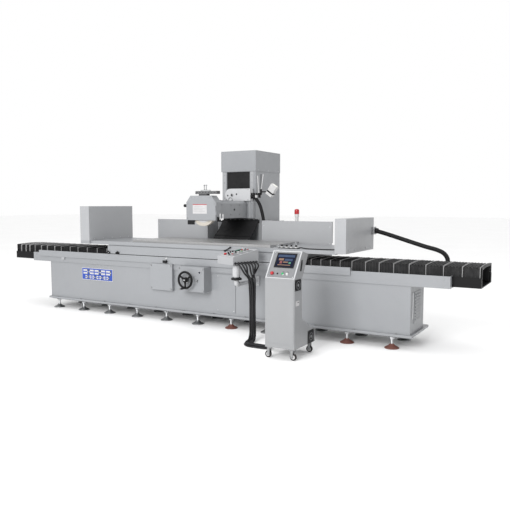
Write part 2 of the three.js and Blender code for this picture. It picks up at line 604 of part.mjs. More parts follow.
// ---------------------------------------------------------------- pendant station
// Points on the pendant are given along its cable side (u), across it (w) and up (z).
function pendantPoint(u, w, z) {
  const along = u - PENDANT.postU;
  const across = w - PENDANT.postW;
  return [
    PENDANT.pivotX + along * Math.cos(PENDANT_YAW) - across * Math.sin(PENDANT_YAW),
    PENDANT.pivotY + along * Math.sin(PENDANT_YAW) + across * Math.cos(PENDANT_YAW),
    z,
  ];
}

function placePendant(shape) {
  const [x, y] = pendantPoint(0, 0, 0);
  return shape.rotate([0, 0, THREE.MathUtils.radToDeg(PENDANT_YAW)]).translate([x, y, 0]);
}

// A mushroom button that presses straight in, about its own origin, and the hole for its stem.
function estop() {
  const { travel, cap, stem, height, depth } = ESTOP;
  return bar('Z', [0, 0, 0], travel + 1, height, cap).add(bar('Z', [0, 0, 0], -depth, travel + 2, stem));
}

function estopHole() {
  return bar('Z', [0, 0, 0], -ESTOP.depth - ESTOP.travel - 1, 1, ESTOP.stemHole);
}

function makePendant() {
  const { length, depth, z0, front, back } = PENDANT;
  const section = (inset) => outline([[inset, z0 + inset], [length - inset, z0 + inset],
    [length - inset, back - inset], [inset, front - inset]]);
  const desk = prismY(section(0), 0, depth)
    .subtract(prismY(section(SHEET), SHEET, depth - SHEET))
    .subtract(box(length - 140, length - 40, depth - 120, depth - 40, z0 - 1, z0 + SHEET + 1));
  const glands = [];
  for (let i = 0; i < 8; i += 1) {
    glands.push(bar('Y', [28 + i * 40, 0, z0 + 17], -14, 1, 10, 10, 10));
  }
  const post = bar('Z', [PENDANT.postU, PENDANT.postW, 0], PENDANT.postZ, z0 + 1, 30, 30, 24);
  const slope = THREE.MathUtils.radToDeg(Math.atan2(back - front, length));
  const { u, w } = PENDANT_ESTOP;
  const onDesk = (shape) => placePendant(shape.rotate([0, -slope, 0])
    .translate([u, w, front + (u / length) * (back - front)]));
  add('pendant_box', placePendant(join([desk, ...glands, post])).subtract(onDesk(estopHole())), LIGHT);
  add('pendant_estop', onDesk(estop()), RED);
  const { pivotX: x, pivotY: y, postZ, armZ } = PENDANT;
  add('pendant_arm', join([
    bar('Z', [x, y, 0], postZ - 24, postZ - 1, 56, 56, 28),
    bar('Z', [x, y, 0], armZ - 30, postZ - 23, 26, 26, 20),
    bar('Y', [x, 0, armZ], y - 20, -10, 20, 20, 20),
    box(x - 55, x + 55, -14, -GAP, armZ - 55, armZ + 55),
  ]), LIGHT);
}

// ---------------------------------------------------------------- pendant cables
// Three cables leave their glands, hang as one ribbon, turn round on the floor and enter the console.
// The route is the middle cable's: x, y, z, and the direction across the ribbon in degrees.
const CABLE = { r: 9, spacing: 21, glands: [5, 3, 1] };
const ROUTE = [
  [975, -395, 640, -20], [975, -395, 500, -18], [975, -395, 360, -15], [975, -395, 220, -10],
  [975, -395, 110, -4], [978, -405, 58, 3], [986, -436, 23, 10], [996, -482, 9.5, 14],
  [1008, -535, 9.5, 22], [1028, -583, 9.5, 42], [1062, -611, 9.5, 68], [1100, -619, 9.5, 90],
  [1165, -619, 9.5, 90], [1240, -619, 9.5, 90], [1285, -619, 21, 90], [1315, -619, 46, 90],
  [1331, -619, 80, 90], [1347, -619, 114, 90], [1377, -619, 139, 90], [1402, -619, 150, 90],
  [1422.4, -619, 150, 90],
];

function cablePoints(index) {
  const u = 28 + CABLE.glands[index] * 40;
  const level = PENDANT.z0 + 17;
  const side = (index - 1) * CABLE.spacing;
  const ribbon = ROUTE.map(([x, y, z, across]) => {
    const angle = THREE.MathUtils.degToRad(across);
    return [x + side * Math.cos(angle), y + side * Math.sin(angle), z];
  });
  const drop = pendantPoint(u, -62, level - 40);
  const lean = drop.map((value, i) => (value + ribbon[0][i]) / 2);
  return [pendantPoint(u, -15, level), pendantPoint(u, -42, level), drop, lean, ...ribbon];
}

function makeCables() {
  for (let i = 0; i < CABLE.glands.length; i += 1) {
    const name = `pendant_cable_${i + 1}`;
    add(name, hose(cablePoints(i), CABLE.r, 48), RUBBER);
    cords.add(name);
  }
}

// ---------------------------------------------------------------- mobile control console
function makeConsole() {
  const { x0, x1, front, z0, rearAxle } = CONSOLE;
  const chin = [front, 746];
  const desk = [-766, 989];
  const profile = [[front, z0], [-485, z0], [-497, 217], [-774, 367], [-783, 727], [-649, 960], desk, chin];
  const inner = [[front + SHEET, z0 - 1], [-494, z0 - 1], [-506, 211], [-782, 361], [-791, 728],
    [-661, 954], [-762, 978], [front + SHEET, 742]];
  const shell = prismX(profile, x0, x1).subtract(prismX(inner, x0 + SHEET, x1 - SHEET));
  const frame = join([x0, x1 - 76].map((x) => box(x, x + 76, front, -485, z0, z0 + SHEET)));
  const forks = [x0 + 40, x1 - 40].map((x) => forkLegs(x, x, rearAxle, z0 + 2));
  const tilt = THREE.MathUtils.radToDeg(Math.atan2(desk[1] - chin[1], desk[0] - chin[0]));
  const { x: estopX, up } = CONSOLE_ESTOP;
  const onSlope = (shape) => shape.translate([x0 + estopX, up, 0]).rotate([tilt, 0, 0])
    .translate([0, ...chin]);
  add('console_cabinet', join([shell, frame, ...forks]).subtract(onSlope(estopHole())), LIGHT);
  add('console_estop', onSlope(estop()), RED);
  makeCasterWheel('rear_left', x0 + 40, rearAxle);
  makeCasterWheel('rear_right', x1 - 40, rearAxle);
}

// A swivel caster: fork with its top plate, and the wheel on its axle, trailing to either side.
function makeCaster(tag, x, y, side) {
  const { cheek } = CASTER;
  const trail = side * CASTER.trail;
  const top = CONSOLE.z0 - GAP;
  add(`caster_fork_${tag}`, join([
    box(x - 24, x + 24, y - cheek - 3, y + cheek + 3, top - 14, top - 8),
    bar('Z', [x, y, 0], top - 9, top, 24),
    forkLegs(x + trail / 2, x + trail, y, top - 11),
  ]), IRON);
  makeCasterWheel(tag, x + trail, y);
}

// The two cheeks of a fork up to a height, with the axle between them.
function forkLegs(x, axleX, y, top) {
  const { r, cheek, axle } = CASTER;
  const leg = (side) => box(x - 12, x + 12, y + side * cheek - 3, y + side * cheek + 3, r - 7, top);
  return join([leg(-1), leg(1), bar('Y', [axleX, 0, r], y - cheek - 3, y + cheek + 3, axle, axle, 12)]);
}

function makeCasterWheel(tag, x, y) {
  const { r, width, axle } = CASTER;
  add(`caster_wheel_${tag}`, bar('Y', [x, 0, r], y - width / 2, y + width / 2, r, r, 28)
    .subtract(bar('Y', [x, 0, r], y - width, y + width, axle + 0.4, axle + 0.4, 12)), RUBBER);
}

// ---------------------------------------------------------------- assembly
makeBed();
makeFeet('feet_front', FOOT.y, RUST);
makeFeet('feet_rear', BED.endDepth - FOOT.y, RUST);
makeTray();
makeWays();
makeBellows('bellows_left', END_TRAY.leftEnd, TABLE.x0 - GAP);
makeBellows('bellows_right', TABLE.x1 + GAP, END_TRAY.rightEnd);
makeEndTray('end_tray_left', END_TRAY.leftEnd, TRAY.x0 - GAP);
makeEndTray('end_tray_right', TRAY.x1 + GAP, END_TRAY.rightEnd);
makeTableDrive();
makeTable();
makeChuck();
makeEndGuards();
makeTableConduit();
makeTripDog('trip_dog', -1226);
makeGearbox();
makeHandwheel();
makeReversingLever();
makeSplashPanel('splash_panel_left', SPLASH.leftX, SPLASH.gapX0);
makeSplashPanel('splash_panel_right', SPLASH.rightX, SPLASH.gapX1);
makeSignalLight();
makeCrossBase();
makeSaddle();
makeColumn();
makeColumnCovers();
makeApron();
makeHead();
makeWheelGuard();
makeSpindle();
makeDriveCover();
makeDresser();
makeCoolantNozzle();
makeLamp();
makeHeadConduit();
makePendant();
makeCables();
makeConsole();
makeCaster('front_left', CONSOLE.x0 + 30, CONSOLE.front + 44, -1);
makeCaster('front_right', CONSOLE.x1 - 48, CONSOLE.front + 44, 1);

// The origin is the middle of the footprint, measured without the loose cables.
const footprint = new THREE.Box3();
for (const mesh of group.children) {
  if (!cords.has(mesh.name)) footprint.expandByObject(mesh);
}
const centre = footprint.getCenter(new THREE.Vector3());
group.position.set(-centre.x, -centre.y, 0);

export default group;
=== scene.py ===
"""Looks of a column-type surface grinder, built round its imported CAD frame. Metres, +Z up.

Shapes are built in the home frame and moved to the row frame when a piece is finished. In the home
frame x runs from the bed's middle, y from the bed's front face, and z from the floor.
"""

import itertools
import math

import bmesh
import bpy
from mathutils import Matrix, Vector


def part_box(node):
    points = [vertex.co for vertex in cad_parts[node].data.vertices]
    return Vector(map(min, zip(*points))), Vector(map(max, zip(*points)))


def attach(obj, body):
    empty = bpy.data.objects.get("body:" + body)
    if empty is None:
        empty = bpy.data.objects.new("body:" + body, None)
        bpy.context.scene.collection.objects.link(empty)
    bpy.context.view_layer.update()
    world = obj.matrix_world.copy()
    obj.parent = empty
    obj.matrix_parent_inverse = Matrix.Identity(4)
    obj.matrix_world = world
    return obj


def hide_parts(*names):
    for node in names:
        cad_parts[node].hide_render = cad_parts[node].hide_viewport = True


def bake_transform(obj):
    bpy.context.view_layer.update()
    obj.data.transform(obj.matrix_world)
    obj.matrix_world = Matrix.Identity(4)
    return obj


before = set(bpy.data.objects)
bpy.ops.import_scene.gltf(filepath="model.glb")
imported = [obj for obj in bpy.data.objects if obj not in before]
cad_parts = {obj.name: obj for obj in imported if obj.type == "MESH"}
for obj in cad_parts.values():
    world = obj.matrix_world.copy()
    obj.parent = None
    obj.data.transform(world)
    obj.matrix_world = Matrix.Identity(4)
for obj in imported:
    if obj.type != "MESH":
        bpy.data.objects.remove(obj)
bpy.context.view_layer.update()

BED_FLANGE = 0.023
BED_HALF = 2.504
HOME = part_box("bed")[0] + Vector((BED_HALF + BED_FLANGE, BED_FLANGE, 0))
HOME.z = 0
GAP = 0.0003                    # what a fitted piece stands off the face behind it
SHARP = math.radians(35)        # edges sharper than this are rounded


def row(x, y, z):
    """A home-frame point in the row frame."""
    return HOME + Vector((x, y, z))


class Box:
    """A CAD node's box, in the home frame."""

    def __init__(self, node):
        low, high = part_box(node)
        self.x0, self.y0, self.z0 = low - HOME
        self.x1, self.y1, self.z1 = high - HOME
        self.x, self.y, self.z = (low + high) / 2 - HOME


def make_camera():
    camera = bpy.data.objects.new("camera", bpy.data.cameras.new("camera"))
    camera.location = row(4.069, -5.635, 1.4175)
    camera.rotation_euler = (math.radians(85.11), 0, math.radians(30.338))
    camera.data.lens = 41.914
    camera.data.sensor_width = 36
    bpy.context.collection.objects.link(camera)
    bpy.context.scene.camera = camera


# ---- materials
class Shader:
    """A short way to write a node material."""

    def __init__(self, name):
        self.material = bpy.data.materials.new(name)
        self.material.use_nodes = True
        self.tree = self.material.node_tree
        self.wire = self.tree.links.new
        self.bsdf = self.tree.nodes["Principled BSDF"]
        self.place = self.node("TexCoord").outputs["Object"]

    def node(self, kind, **inputs):
        node = self.tree.nodes.new("ShaderNode" + kind)
        for key, value in inputs.items():
            node.inputs[key].default_value = value
        return node

    def put(self, key, value):
        self.bsdf.inputs[key].default_value = value

    def noise(self, scale, detail=4, rough=0.55, stretch=None):
        node = self.node("TexNoise", Scale=scale, Detail=detail, Roughness=rough)
        place = self.place
        if stretch:
            mapping = self.node("Mapping", Scale=stretch)
            self.wire(place, mapping.inputs["Vector"])
            place = mapping.outputs["Vector"]
        self.wire(place, node.inputs["Vector"])
        return node.outputs["Fac"]

    def wave(self, scale, axis):
        node = self.node("TexWave", Scale=scale)
        node.bands_direction = axis
        self.wire(self.place, node.inputs["Vector"])
        return node.outputs["Fac"]

    def ramp(self, source, *stops):
        node = self.node("ValToRGB")
        for element, (position, colour) in zip(node.color_ramp.elements, stops):
            element.position = position
            element.color = (*colour, 1) if hasattr(colour, "__len__") else (colour, colour, colour, 1)
        self.wire(source, node.inputs["Fac"])
        return node.outputs["Color"]

    def mix(self, factor, a, b, blend="MIX"):
        node = self.node("Mix")
        node.data_type = "RGBA"
        node.blend_type = blend
        for socket, value in ((node.inputs[0], factor), (node.inputs[6], a), (node.inputs[7], b)):
            if hasattr(value, "is_output"):
                self.wire(value, socket)
            else:
                socket.default_value = (*value, 1) if hasattr(value, "__len__") else value
        return node.outputs[2]

    def bump(self, source, strength, distance, under=None):
        node = self.node("Bump", Strength=strength, Distance=distance)
        self.wire(source, node.inputs["Height"])
        if under:
            self.wire(under, node.inputs["Normal"])
        self.wire(node.outputs["Normal"], self.bsdf.inputs["Normal"])
        return node.outputs["Normal"]

    def colour(self, source):
        self.wire(source, self.bsdf.inputs["Base Color"])

    def rough(self, source, low, high):
        self.wire(self.ramp(source, (0.3, low), (0.7, high)), self.bsdf.inputs["Roughness"])


def shade(colour, factor):
    return tuple(min(1.0, c * factor) for c in colour)


def enamel(name, colour, low=0.32, high=0.46, spread=0.05, peel=0.05, wear=0.35):
    """Sprayed machine enamel: soft cloudiness, fine orange peel, paler rubbed edges."""
    s = Shader(name)
    s.put("Specular IOR Level", 0.5 if max(colour) > 0.1 else 0.12)
    base = s.ramp(s.noise(2.2, 6), (0.3, shade(colour, 1 - spread)), (0.7, shade(colour, 1 + spread)))
    grime = s.ramp(s.noise(9, 8, 0.7), (0.35, 0.0), (0.85, 0.12))
    base = s.mix(grime, base, shade(colour, 0.72))
    edges = s.ramp(s.node("NewGeometry").outputs["Pointiness"], (0.53, 0.0), (0.6, 1.0))
    worn = s.mix(0.5, edges, s.noise(60, 5), "MULTIPLY")
    s.colour(s.mix(s.mix(wear, (0, 0, 0), worn), base, shade(colour, 1.3)))
    s.rough(s.noise(14, 5), low, high)
    s.bump(s.noise(420, 3), peel, 0.0004)
    return s.material


def rubber(name, colour, low=0.55, high=0.8, grain=260, strength=0.25, weave=False):
    """Matt rubberised cloth: faint dust, and a fine weave where it is cloth."""
    s = Shader(name)
    s.put("Specular IOR Level", 0.25)
    s.colour(s.ramp(s.noise(5, 7, 0.65), (0.4, colour), (0.85, shade(colour, 2.2))))
    s.rough(s.noise(20, 4), low, high)
    first = s.bump(s.noise(grain, 4), strength, 0.0008)
    if weave:
        s.bump(s.wave(190, "Z"), 0.12, 0.0005, first)
    return s.material


def metal(name, colour, low=0.22, high=0.38, stretch=(1, 40, 40), scale=30, metallic=1.0, tones=None, lines=None):
    """Ground or turned metal: long fine scratches and slightly uneven polish."""
    s = Shader(name)
    s.put("Metallic", metallic)
    grain = s.noise(scale, 6, 0.6, stretch)
    dark, pale = tones or (shade(colour, 0.86), shade(colour, 1.1))
    base = s.ramp(grain, (0.3, dark), (0.7, pale))
    if lines:
        base = s.mix(s.ramp(s.wave(lines, "X"), (0.93, 0.0), (0.97, 1.0)), base, colour)
    s.colour(base)
    s.rough(s.noise(8 if lines else 6, 5), low, high)
    s.bump(grain, 0.08, 0.0003)
    return s.material


def plastic(name, colour, low=0.3, high=0.42, strength=0.06):
    """Moulded plastic: even colour, fine sparked texture."""
    s = Shader(name)
    s.put("Specular IOR Level", 0.5 if max(colour) > 0.05 else 0.15)
    s.colour(s.ramp(s.noise(18, 4), (0.3, shade(colour, 0.95)), (0.7, shade(colour, 1.05))))
    s.rough(s.noise(40, 4), low, high)
    s.bump(s.noise(900, 2), strength, 0.0003)
    return s.material


def glowing(name, colour, strength=0.2):
    """A lit lens or display segment."""
    s = Shader(name)
    s.colour(s.ramp(s.noise(80, 2), (0.3, shade(colour, 0.85)), (0.7, colour)))
    s.put("Roughness", 0.25)
    s.put("Emission Color", (*colour, 1))
    s.put("Emission Strength", strength)
    return s.material


def abrasive():
    """Bonded abrasive: cream grit, slightly loaded with dark swarf."""
    s = Shader("abrasive")
    grit = s.noise(700, 3, 0.8)
    base = s.ramp(grit, (0.35, (0.36, 0.33, 0.28)), (0.62, (0.52, 0.49, 0.44)))
    s.colour(s.mix(s.ramp(s.noise(25, 5), (0.5, 0.0), (0.8, 0.5)), base, (0.27, 0.26, 0.25)))
    s.put("Roughness", 0.95)
    s.bump(grit, 0.7, 0.0008)
    return s.material


MAT = {
    "grey": enamel("grey_enamel", (0.225, 0.232, 0.243)),
    "light": enamel("light_enamel", (0.285, 0.29, 0.3), 0.3, 0.42, 0.03),
    "cabinet": enamel("cabinet_enamel", (0.215, 0.219, 0.225), 0.3, 0.42, 0.03),
    "bright": enamel("bright_enamel", (0.4, 0.405, 0.415), 0.25, 0.35, 0.02),
    "white": enamel("white_enamel", (0.42, 0.425, 0.435), 0.25, 0.38, 0.02),
    "black": enamel("black_enamel", (0.007, 0.007, 0.0075), 0.35, 0.5, 0.1, 0.05, 0.1),
    "oxide": enamel("oxide_paint", (0.12, 0.045, 0.035), 0.5, 0.7, 0.12),
    "iron": enamel("dark_iron", (0.07, 0.07, 0.072), 0.4, 0.6, 0.15, 0.2),
    "rubber": rubber("black_rubber", (0.006, 0.006, 0.0065)),
    # paler rubber for the hoops on the pleat ridges: a painted highlight for the light the ridges catch
    "ridge_highlight": rubber("fold_edge_highlight", (0.045, 0.045, 0.047), 0.4, 0.6),
    "cloth": rubber("bellows_cloth", (0.006, 0.006, 0.0065), 0.5, 0.75, weave=True),
    "jacket": rubber("cable_jacket", (0.008, 0.008, 0.009), 0.35, 0.5, 500, 0.1),
    "tyre": rubber("caster_tread", (0.02, 0.018, 0.018), 0.5, 0.7),
    "steel": metal("ground_steel", (0.6, 0.61, 0.62)),
    "zinc": metal("zinc_plate", (0.55, 0.56, 0.57), 0.3, 0.45, (1, 1, 1), 40),
    "dull": metal("dull_steel", (0.3, 0.305, 0.31), 0.4, 0.55, (1, 1, 1), 60),
    # the chuck's face has thin brass lines between its magnetic poles
    "chuck": metal("chuck_steel", (0.26, 0.24, 0.2), 0.38, 0.52, (60, 1, 60), 24, 0.85,
                   ((0.3, 0.3, 0.31), (0.44, 0.445, 0.45)), 16.6),
    "abrasive": abrasive(),
    "plastic": plastic("white_plastic", (0.46, 0.46, 0.46)),
    "dark": plastic("dark_plastic", (0.012, 0.012, 0.013)),
    "red": plastic("red_plastic", (0.34, 0.01, 0.016), 0.18, 0.28),
    "green": plastic("green_plastic", (0.02, 0.3, 0.1), 0.2, 0.3),
    "blue": plastic("blue_plate", (0.012, 0.05, 0.3), 0.3, 0.4),
    "card": plastic("white_card", (0.44, 0.435, 0.44), 0.4, 0.5),
    "panel": plastic("grey_panel", (0.17, 0.173, 0.18), 0.4, 0.5),
    "glass": plastic("screen_glass", (0.004, 0.006, 0.018), 0.06, 0.12, 0.0),
    "lit_blue": glowing("lit_blue", (0.018, 0.035, 0.075)),
    "lit_amber": glowing("lit_amber", (0.16, 0.095, 0.06)),
    "lit_red": glowing("lit_red", (0.16, 0.045, 0.045)),
    "lit_green": glowing("lit_green", (0.05, 0.16, 0.11)),
    "lens": glowing("lamp_lens", (0.75, 0.75, 0.7), 0.1),
}


# ---- mesh helpers
AXES = {name: [Vector(v) for v in vectors] for name, vectors in {
    "X": ((1, 0, 0), (0, 1, 0), (0, 0, 1)),
    "Y": ((0, 1, 0), (0, 0, 1), (1, 0, 0)),
    "Z": ((0, 0, 1), (1, 0, 0), (0, 1, 0)),
    "-X": ((-1, 0, 0), (0, 0, 1), (0, 1, 0)),
    "-Y": ((0, -1, 0), (1, 0, 0), (0, 0, 1)),
    "-Z": ((0, 0, -1), (0, 1, 0), (1, 0, 0)),
}.items()}


def circle(centre, u, v, sides):
    angles = (2 * math.pi * k / sides for k in range(sides))
    return [centre + u * math.cos(t) + v * math.sin(t) for t in angles]


class Piece:
    """One visible piece. Shapes are added in the home frame; done() puts it on a body."""

    def __init__(self, name, material):
        self.name = name
        self.bm = bmesh.new()
        self.materials = [material]
        self.index = 0
        self.turn = Matrix.Identity(4)

    def use(self, material):
        if material not in self.materials:
            self.materials.append(material)
        self.index = self.materials.index(material)
        return self

    def _faces(self, verts, faces):
        points = [self.bm.verts.new(self.turn @ Vector(v)) for v in verts]
        for face in faces:
            made = self.bm.faces.new([points[i] for i in face])
            made.material_index = self.index
            made.smooth = True
        return self

    def box(self, x0, x1, y0, y1, z0, z1):
        faces = [(0, 1, 3, 2), (4, 6, 7, 5), (0, 4, 5, 1), (2, 3, 7, 6), (0, 2, 6, 4), (1, 5, 7, 3)]
        return self._faces(itertools.product((x0, x1), (y0, y1), (z0, z1)), faces)

    def sweep(self, rings, closed=False):
        """Joins rings of points, each ring with the same number of points."""
        count = len(rings[0])
        verts = [point for ring in rings for point in ring]
        faces = []
        for i in range(len(rings) if closed else len(rings) - 1):
            a, b = i * count, ((i + 1) % len(rings)) * count
            for k in range(count):
                n = (k + 1) % count
                faces.append((a + k, a + n, b + n, b + k))
        if not closed:
            faces.append(tuple(reversed(range(count))))
            faces.append(tuple(range(len(verts) - count, len(verts))))
        return self._faces(verts, faces)

    def prism(self, points, axis, a, b):
        """An outline extruded along an axis: X takes (y, z) points and Y takes (x, z)."""
        return self.sweep([[(s, p, q) if axis == "X" else (p, s, q) for p, q in points] for s in (a, b)])

    def turned(self, base, profile, axis="Z", sides=48):
        """A solid of revolution along an axis from a base point.

        The profile is radius, height, radius, height and so on, in millimetres. If it ends at the
        radius it starts from, it is a ring; one that starts at 1 mm is solid.
        """
        along, across, up = AXES[axis]
        pairs = [(r / 1000, h / 1000) for r, h in zip(profile[::2], profile[1::2])]
        rings = [circle(Vector(base) + along * h, across * r, up * r, sides) for r, h in pairs]
        return self.sweep(rings, closed=profile[0] == profile[-2] > 2)

    def knob(self, base, profile, axis="Z", sides=28):
        """A turned solid with flat ends."""
        return self.turned(base, (1, profile[1], *profile, 1, profile[-1]), axis, sides)

    def rod(self, base, length, radius, axis="Z", sides=32, soft=0.0015):
        """A round bar with softened ends."""
        soft, r, h = (1000 * v for v in (min(soft, radius / 3, length / 3), radius, length))
        return self.knob(base, (r - soft, 0, r, soft, r, h - soft, r - soft, h), axis, sides)

    def screw(self, base, axis, radius, height):
        """A socket-head screw standing on a face, its radius and height in millimetres."""
        r, h = radius, height
        return self.turned(base, (r, 0, r, h * 0.8, r * 0.88, h, r / 2, h, r / 2, h * 0.35), axis, 20)

    def screws(self, axis, xs, ys, zs, radius, height):
        """A screw at every meeting of the given x, y and z places."""
        for place in itertools.product(*(v if hasattr(v, "__len__") else (v,) for v in (xs, ys, zs))):
            self.screw(place, axis, radius, height)
        return self

    def end_screws(self, b, ys, zs, radius, height):
        """Screws on both end faces of a box."""
        self.screws("X", b.x1, ys, zs, radius, height)
        return self.screws("-X", b.x0, ys, zs, radius, height)

    def done(self, body, slot=None, bevel=0, replaces=(), blend=None):
        """Makes the object, with edges rounded by so many millimetres, and puts it on its body; a piece given a
        blend is left in the row frame with no parent.
        """
        bmesh.ops.recalc_face_normals(self.bm, faces=self.bm.faces)
        mesh = bpy.data.meshes.new(self.name)
        self.bm.to_mesh(mesh)
        self.bm.free()
        mesh.transform(Matrix.Translation(HOME))
        piece = bpy.data.objects.new(self.name, mesh)
        bpy.context.collection.objects.link(piece)
        for material in self.materials:
            mesh.materials.append(MAT[material])
        soften(piece, bevel)
        if blend:
            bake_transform(piece)
        else:
            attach(piece, body)
        if replaces:
            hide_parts(*replaces)
        return piece


def soften(piece, width):
    """Rounds a piece's sharp edges by a width in millimetres and keeps its flat faces flat."""
    if width:
        bevel = piece.modifiers.new("round", "BEVEL")
        bevel.width = width / 1000
        bevel.segments = 1 if width < 1 else 2 if width < 3 else 3
        bevel.limit_method = "ANGLE"
        bevel.angle_limit = SHARP
        bevel.harden_normals = False
    piece.modifiers.new("flat_faces", "WEIGHTED_NORMAL").keep_sharp = True


def smooth_curve(points, per_span=8):
    """Points along a centripetal Catmull-Rom curve through the given points."""
    p = [Vector(q) for q in points]
    p = [2 * p[0] - p[1], *p, 2 * p[-1] - p[-2]]
    out = []
    for a, b, c, d in zip(p, p[1:], p[2:], p[3:]):
        t1 = math.sqrt((b - a).length)
        t2 = t1 + math.sqrt((c - b).length)
        t3 = t2 + math.sqrt((d - c).length)
        for k in range(per_span):
            share = k / per_span
            t = t1 + (t2 - t1) * share
            bc = b.lerp(c, share)
            abc = a.lerp(b, t / t1).lerp(bc, t / t2)
            bcd = bc.lerp(c.lerp(d, (t - t2) / (t3 - t2)), (t - t1) / (t3 - t1))
            out.append(abc.lerp(bcd, share))
    return [*out, p[-2]]


def rings_along(points, radius, sides=16):
    """Rings of points round a path; radius is a number or a function of distance along it."""
    rings = []
    normal = None
    travelled = 0.0
    for i, point in enumerate(points):
        tangent = (points[min(i + 1, len(points) - 1)] - points[max(i - 1, 0)]).normalized()
        normal = normal or tangent.orthogonal().normalized()
        normal = (normal - tangent * normal.dot(tangent)).normalized()
        travelled += (point - points[max(i - 1, 0)]).length
        r = radius(travelled) if callable(radius) else radius
        rings.append(circle(point, normal * r, tangent.cross(normal) * r, sides))
    return rings


def ribbed(radius, depth, pitch):
    """The radius of a ribbed conduit at a distance along it."""
    return lambda s: radius - depth * (0.5 + 0.5 * math.cos(2 * math.pi * s / pitch))


def resample(points, step):
    """The same path with points at an even step, and its length."""
    lengths = [0.0]
    for a, b in zip(points, points[1:]):
        lengths.append(lengths[-1] + (b - a).length)
    count = max(2, round(lengths[-1] / step))
    out = []
    k = 0
    for i in range(count + 1):
        want = lengths[-1] * i / count
        while k < len(points) - 2 and lengths[k + 1] < want:
            k += 1
        share = (want - lengths[k]) / max(lengths[k + 1] - lengths[k], 1e-9)
        out.append(points[k].lerp(points[k + 1], share))
    return out, lengths[-1]


def finish_node(node, material, bevel):
    """A CAD node that keeps its shape gets its material and softened edges."""
    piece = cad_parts[node]
    piece.data.materials.clear()
    piece.data.materials.append(MAT[material])
    for polygon in piece.data.polygons:
        polygon.use_smooth = True
    soften(piece, bevel)


def ends(low, high, inset):
    """Two places the same distance in from two ends."""
    return low + inset, high - inset


def spaced(first, pitch, count):
    """Evenly spaced places."""
    return [first + k * pitch for k in range(count)]


# ---- pendant cables
PENDANT_PIVOT = (0.777, -0.395)
PENDANT_YAW = math.radians(70)
PENDANT_FRONT = 0.872           # height of the desk's low edge
PENDANT_RISE, PENDANT_LENGTH, PENDANT_DEPTH = 0.063, 0.34, 0.27
POST_U, POST_W = 0.09, 0.06   # where the post stands under the box
GLAND_FIRST, GLAND_PITCH, GLAND_LEVEL = 0.028, 0.04, 0.807
CABLE_R, CABLE_SPACING, LAYER = 0.009, 0.021, 0.0165
# The middle cable: x, y, z, and the direction across the ribbon in degrees.
ROUTE = [
    (0.975, -0.395, 0.64, -20), (0.975, -0.395, 0.5, -18), (0.975, -0.395, 0.36, -15),
    (0.975, -0.395, 0.22, -10), (0.975, -0.395, 0.11, -4), (0.978, -0.405, 0.058, 3),
    (0.986, -0.436, 0.023, 10), (0.996, -0.482, 0.0095, 14), (1.008, -0.535, 0.0095, 22),
    (1.028, -0.583, 0.0095, 42), (1.062, -0.611, 0.0095, 68), (1.1, -0.619, 0.0095, 90),
    (1.165, -0.619, 0.0095, 90), (1.24, -0.619, 0.0095, 90), (1.285, -0.619, 0.021, 90),
    (1.315, -0.619, 0.046, 90), (1.331, -0.619, 0.08, 90), (1.347, -0.619, 0.114, 90),
    (1.377, -0.619, 0.139, 90), (1.402, -0.619, 0.15, 90), (1.4224, -0.619, 0.15, 90),
]
LOOSE = (1.35, 1.15) + (1.0,) * (len(ROUTE) - 2)    # how far the ribbon opens at each stop
# Each cable: its gland, its place across the ribbon in half spacings, and 1 for the upper layer.
CABLES = ((6, -3, 0), (5, -1, 0), (4, 3, 0), (3, 1, 0), (2, -2, 1), (1, 2, 1), (0, 0, 1))
CAD_CABLE_AT = {5: "pendant_cable_1", 3: "pendant_cable_2", 1: "pendant_cable_3"}   # by gland


def on_pendant(u, w, z):
    """A point given along the pendant's cable side, across it and up."""
    along, across = u - POST_U, w - POST_W
    c, s = math.cos(PENDANT_YAW), math.sin(PENDANT_YAW)
    return (PENDANT_PIVOT[0] + along * c - across * s, PENDANT_PIVOT[1] + along * s + across * c, z)


def cable_points(gland, place, layer):
    """The points one cable passes: out of its gland, down to the ribbon and along it."""
    u = GLAND_FIRST + gland * GLAND_PITCH
    centre = [Vector(stop[:3]) for stop in ROUTE]
    ribbon = []
    for i, (stop, loose) in enumerate(zip(ROUTE, LOOSE)):
        angle = math.radians(stop[3])
        across = Vector((math.cos(angle), math.sin(angle), 0))
        ahead = (centre[min(i + 1, len(centre) - 1)] - centre[max(i - 1, 0)]).normalized()
        raised = ahead.cross(across).normalized()
        ribbon.append(centre[i] + (across * (place * CABLE_SPACING / 2) + raised * (layer * LAYER)) * loose)
    drop = Vector(on_pendant(u, -0.086, GLAND_LEVEL - 0.026))
    ribbon[0] = Vector((*ribbon[0].lerp(drop, 0.16).xy, ribbon[0].z))
    lean = (*drop.lerp(ribbon[0], 0.4).xy, 0.716)
    return [on_pendant(u, -0.015, GLAND_LEVEL), on_pendant(u, -0.048, GLAND_LEVEL), drop, lean, *ribbon]


def make_cables():
    """Seven cables fan in from the pendant's glands and run as two layers into the console."""
    for number, (gland, place, layer) in enumerate(CABLES, 1):
        curve = smooth_curve(cable_points(gland, place, layer))
        path, length = resample([Vector((x, y, max(z, CABLE_R))) for x, y, z in curve], 0.009)
        cable = Piece(f"cable_{number}", "jacket").sweep(rings_along(path, CABLE_R, 16))
        replaced = [CAD_CABLE_AT[gland]] if gland in CAD_CABLE_AT else []
        piece = cable.done(None, slot="cable_jacket", replaces=replaced,
                           blend=("machine", "pendant", row(0, 0, 0.2), row(0, 0, 0.79)))
    inlet = Piece("console_cable_inlet", "dark").box(1.4165, 1.4222, -0.67, -0.568, 0.126, 0.19)
    inlet.use("dull").screws("-X", 1.4165, (-0.664, -0.574), (0.132, 0.184), 3, 2)
    inlet.done("machine", slot="black_rubber", bevel=1)


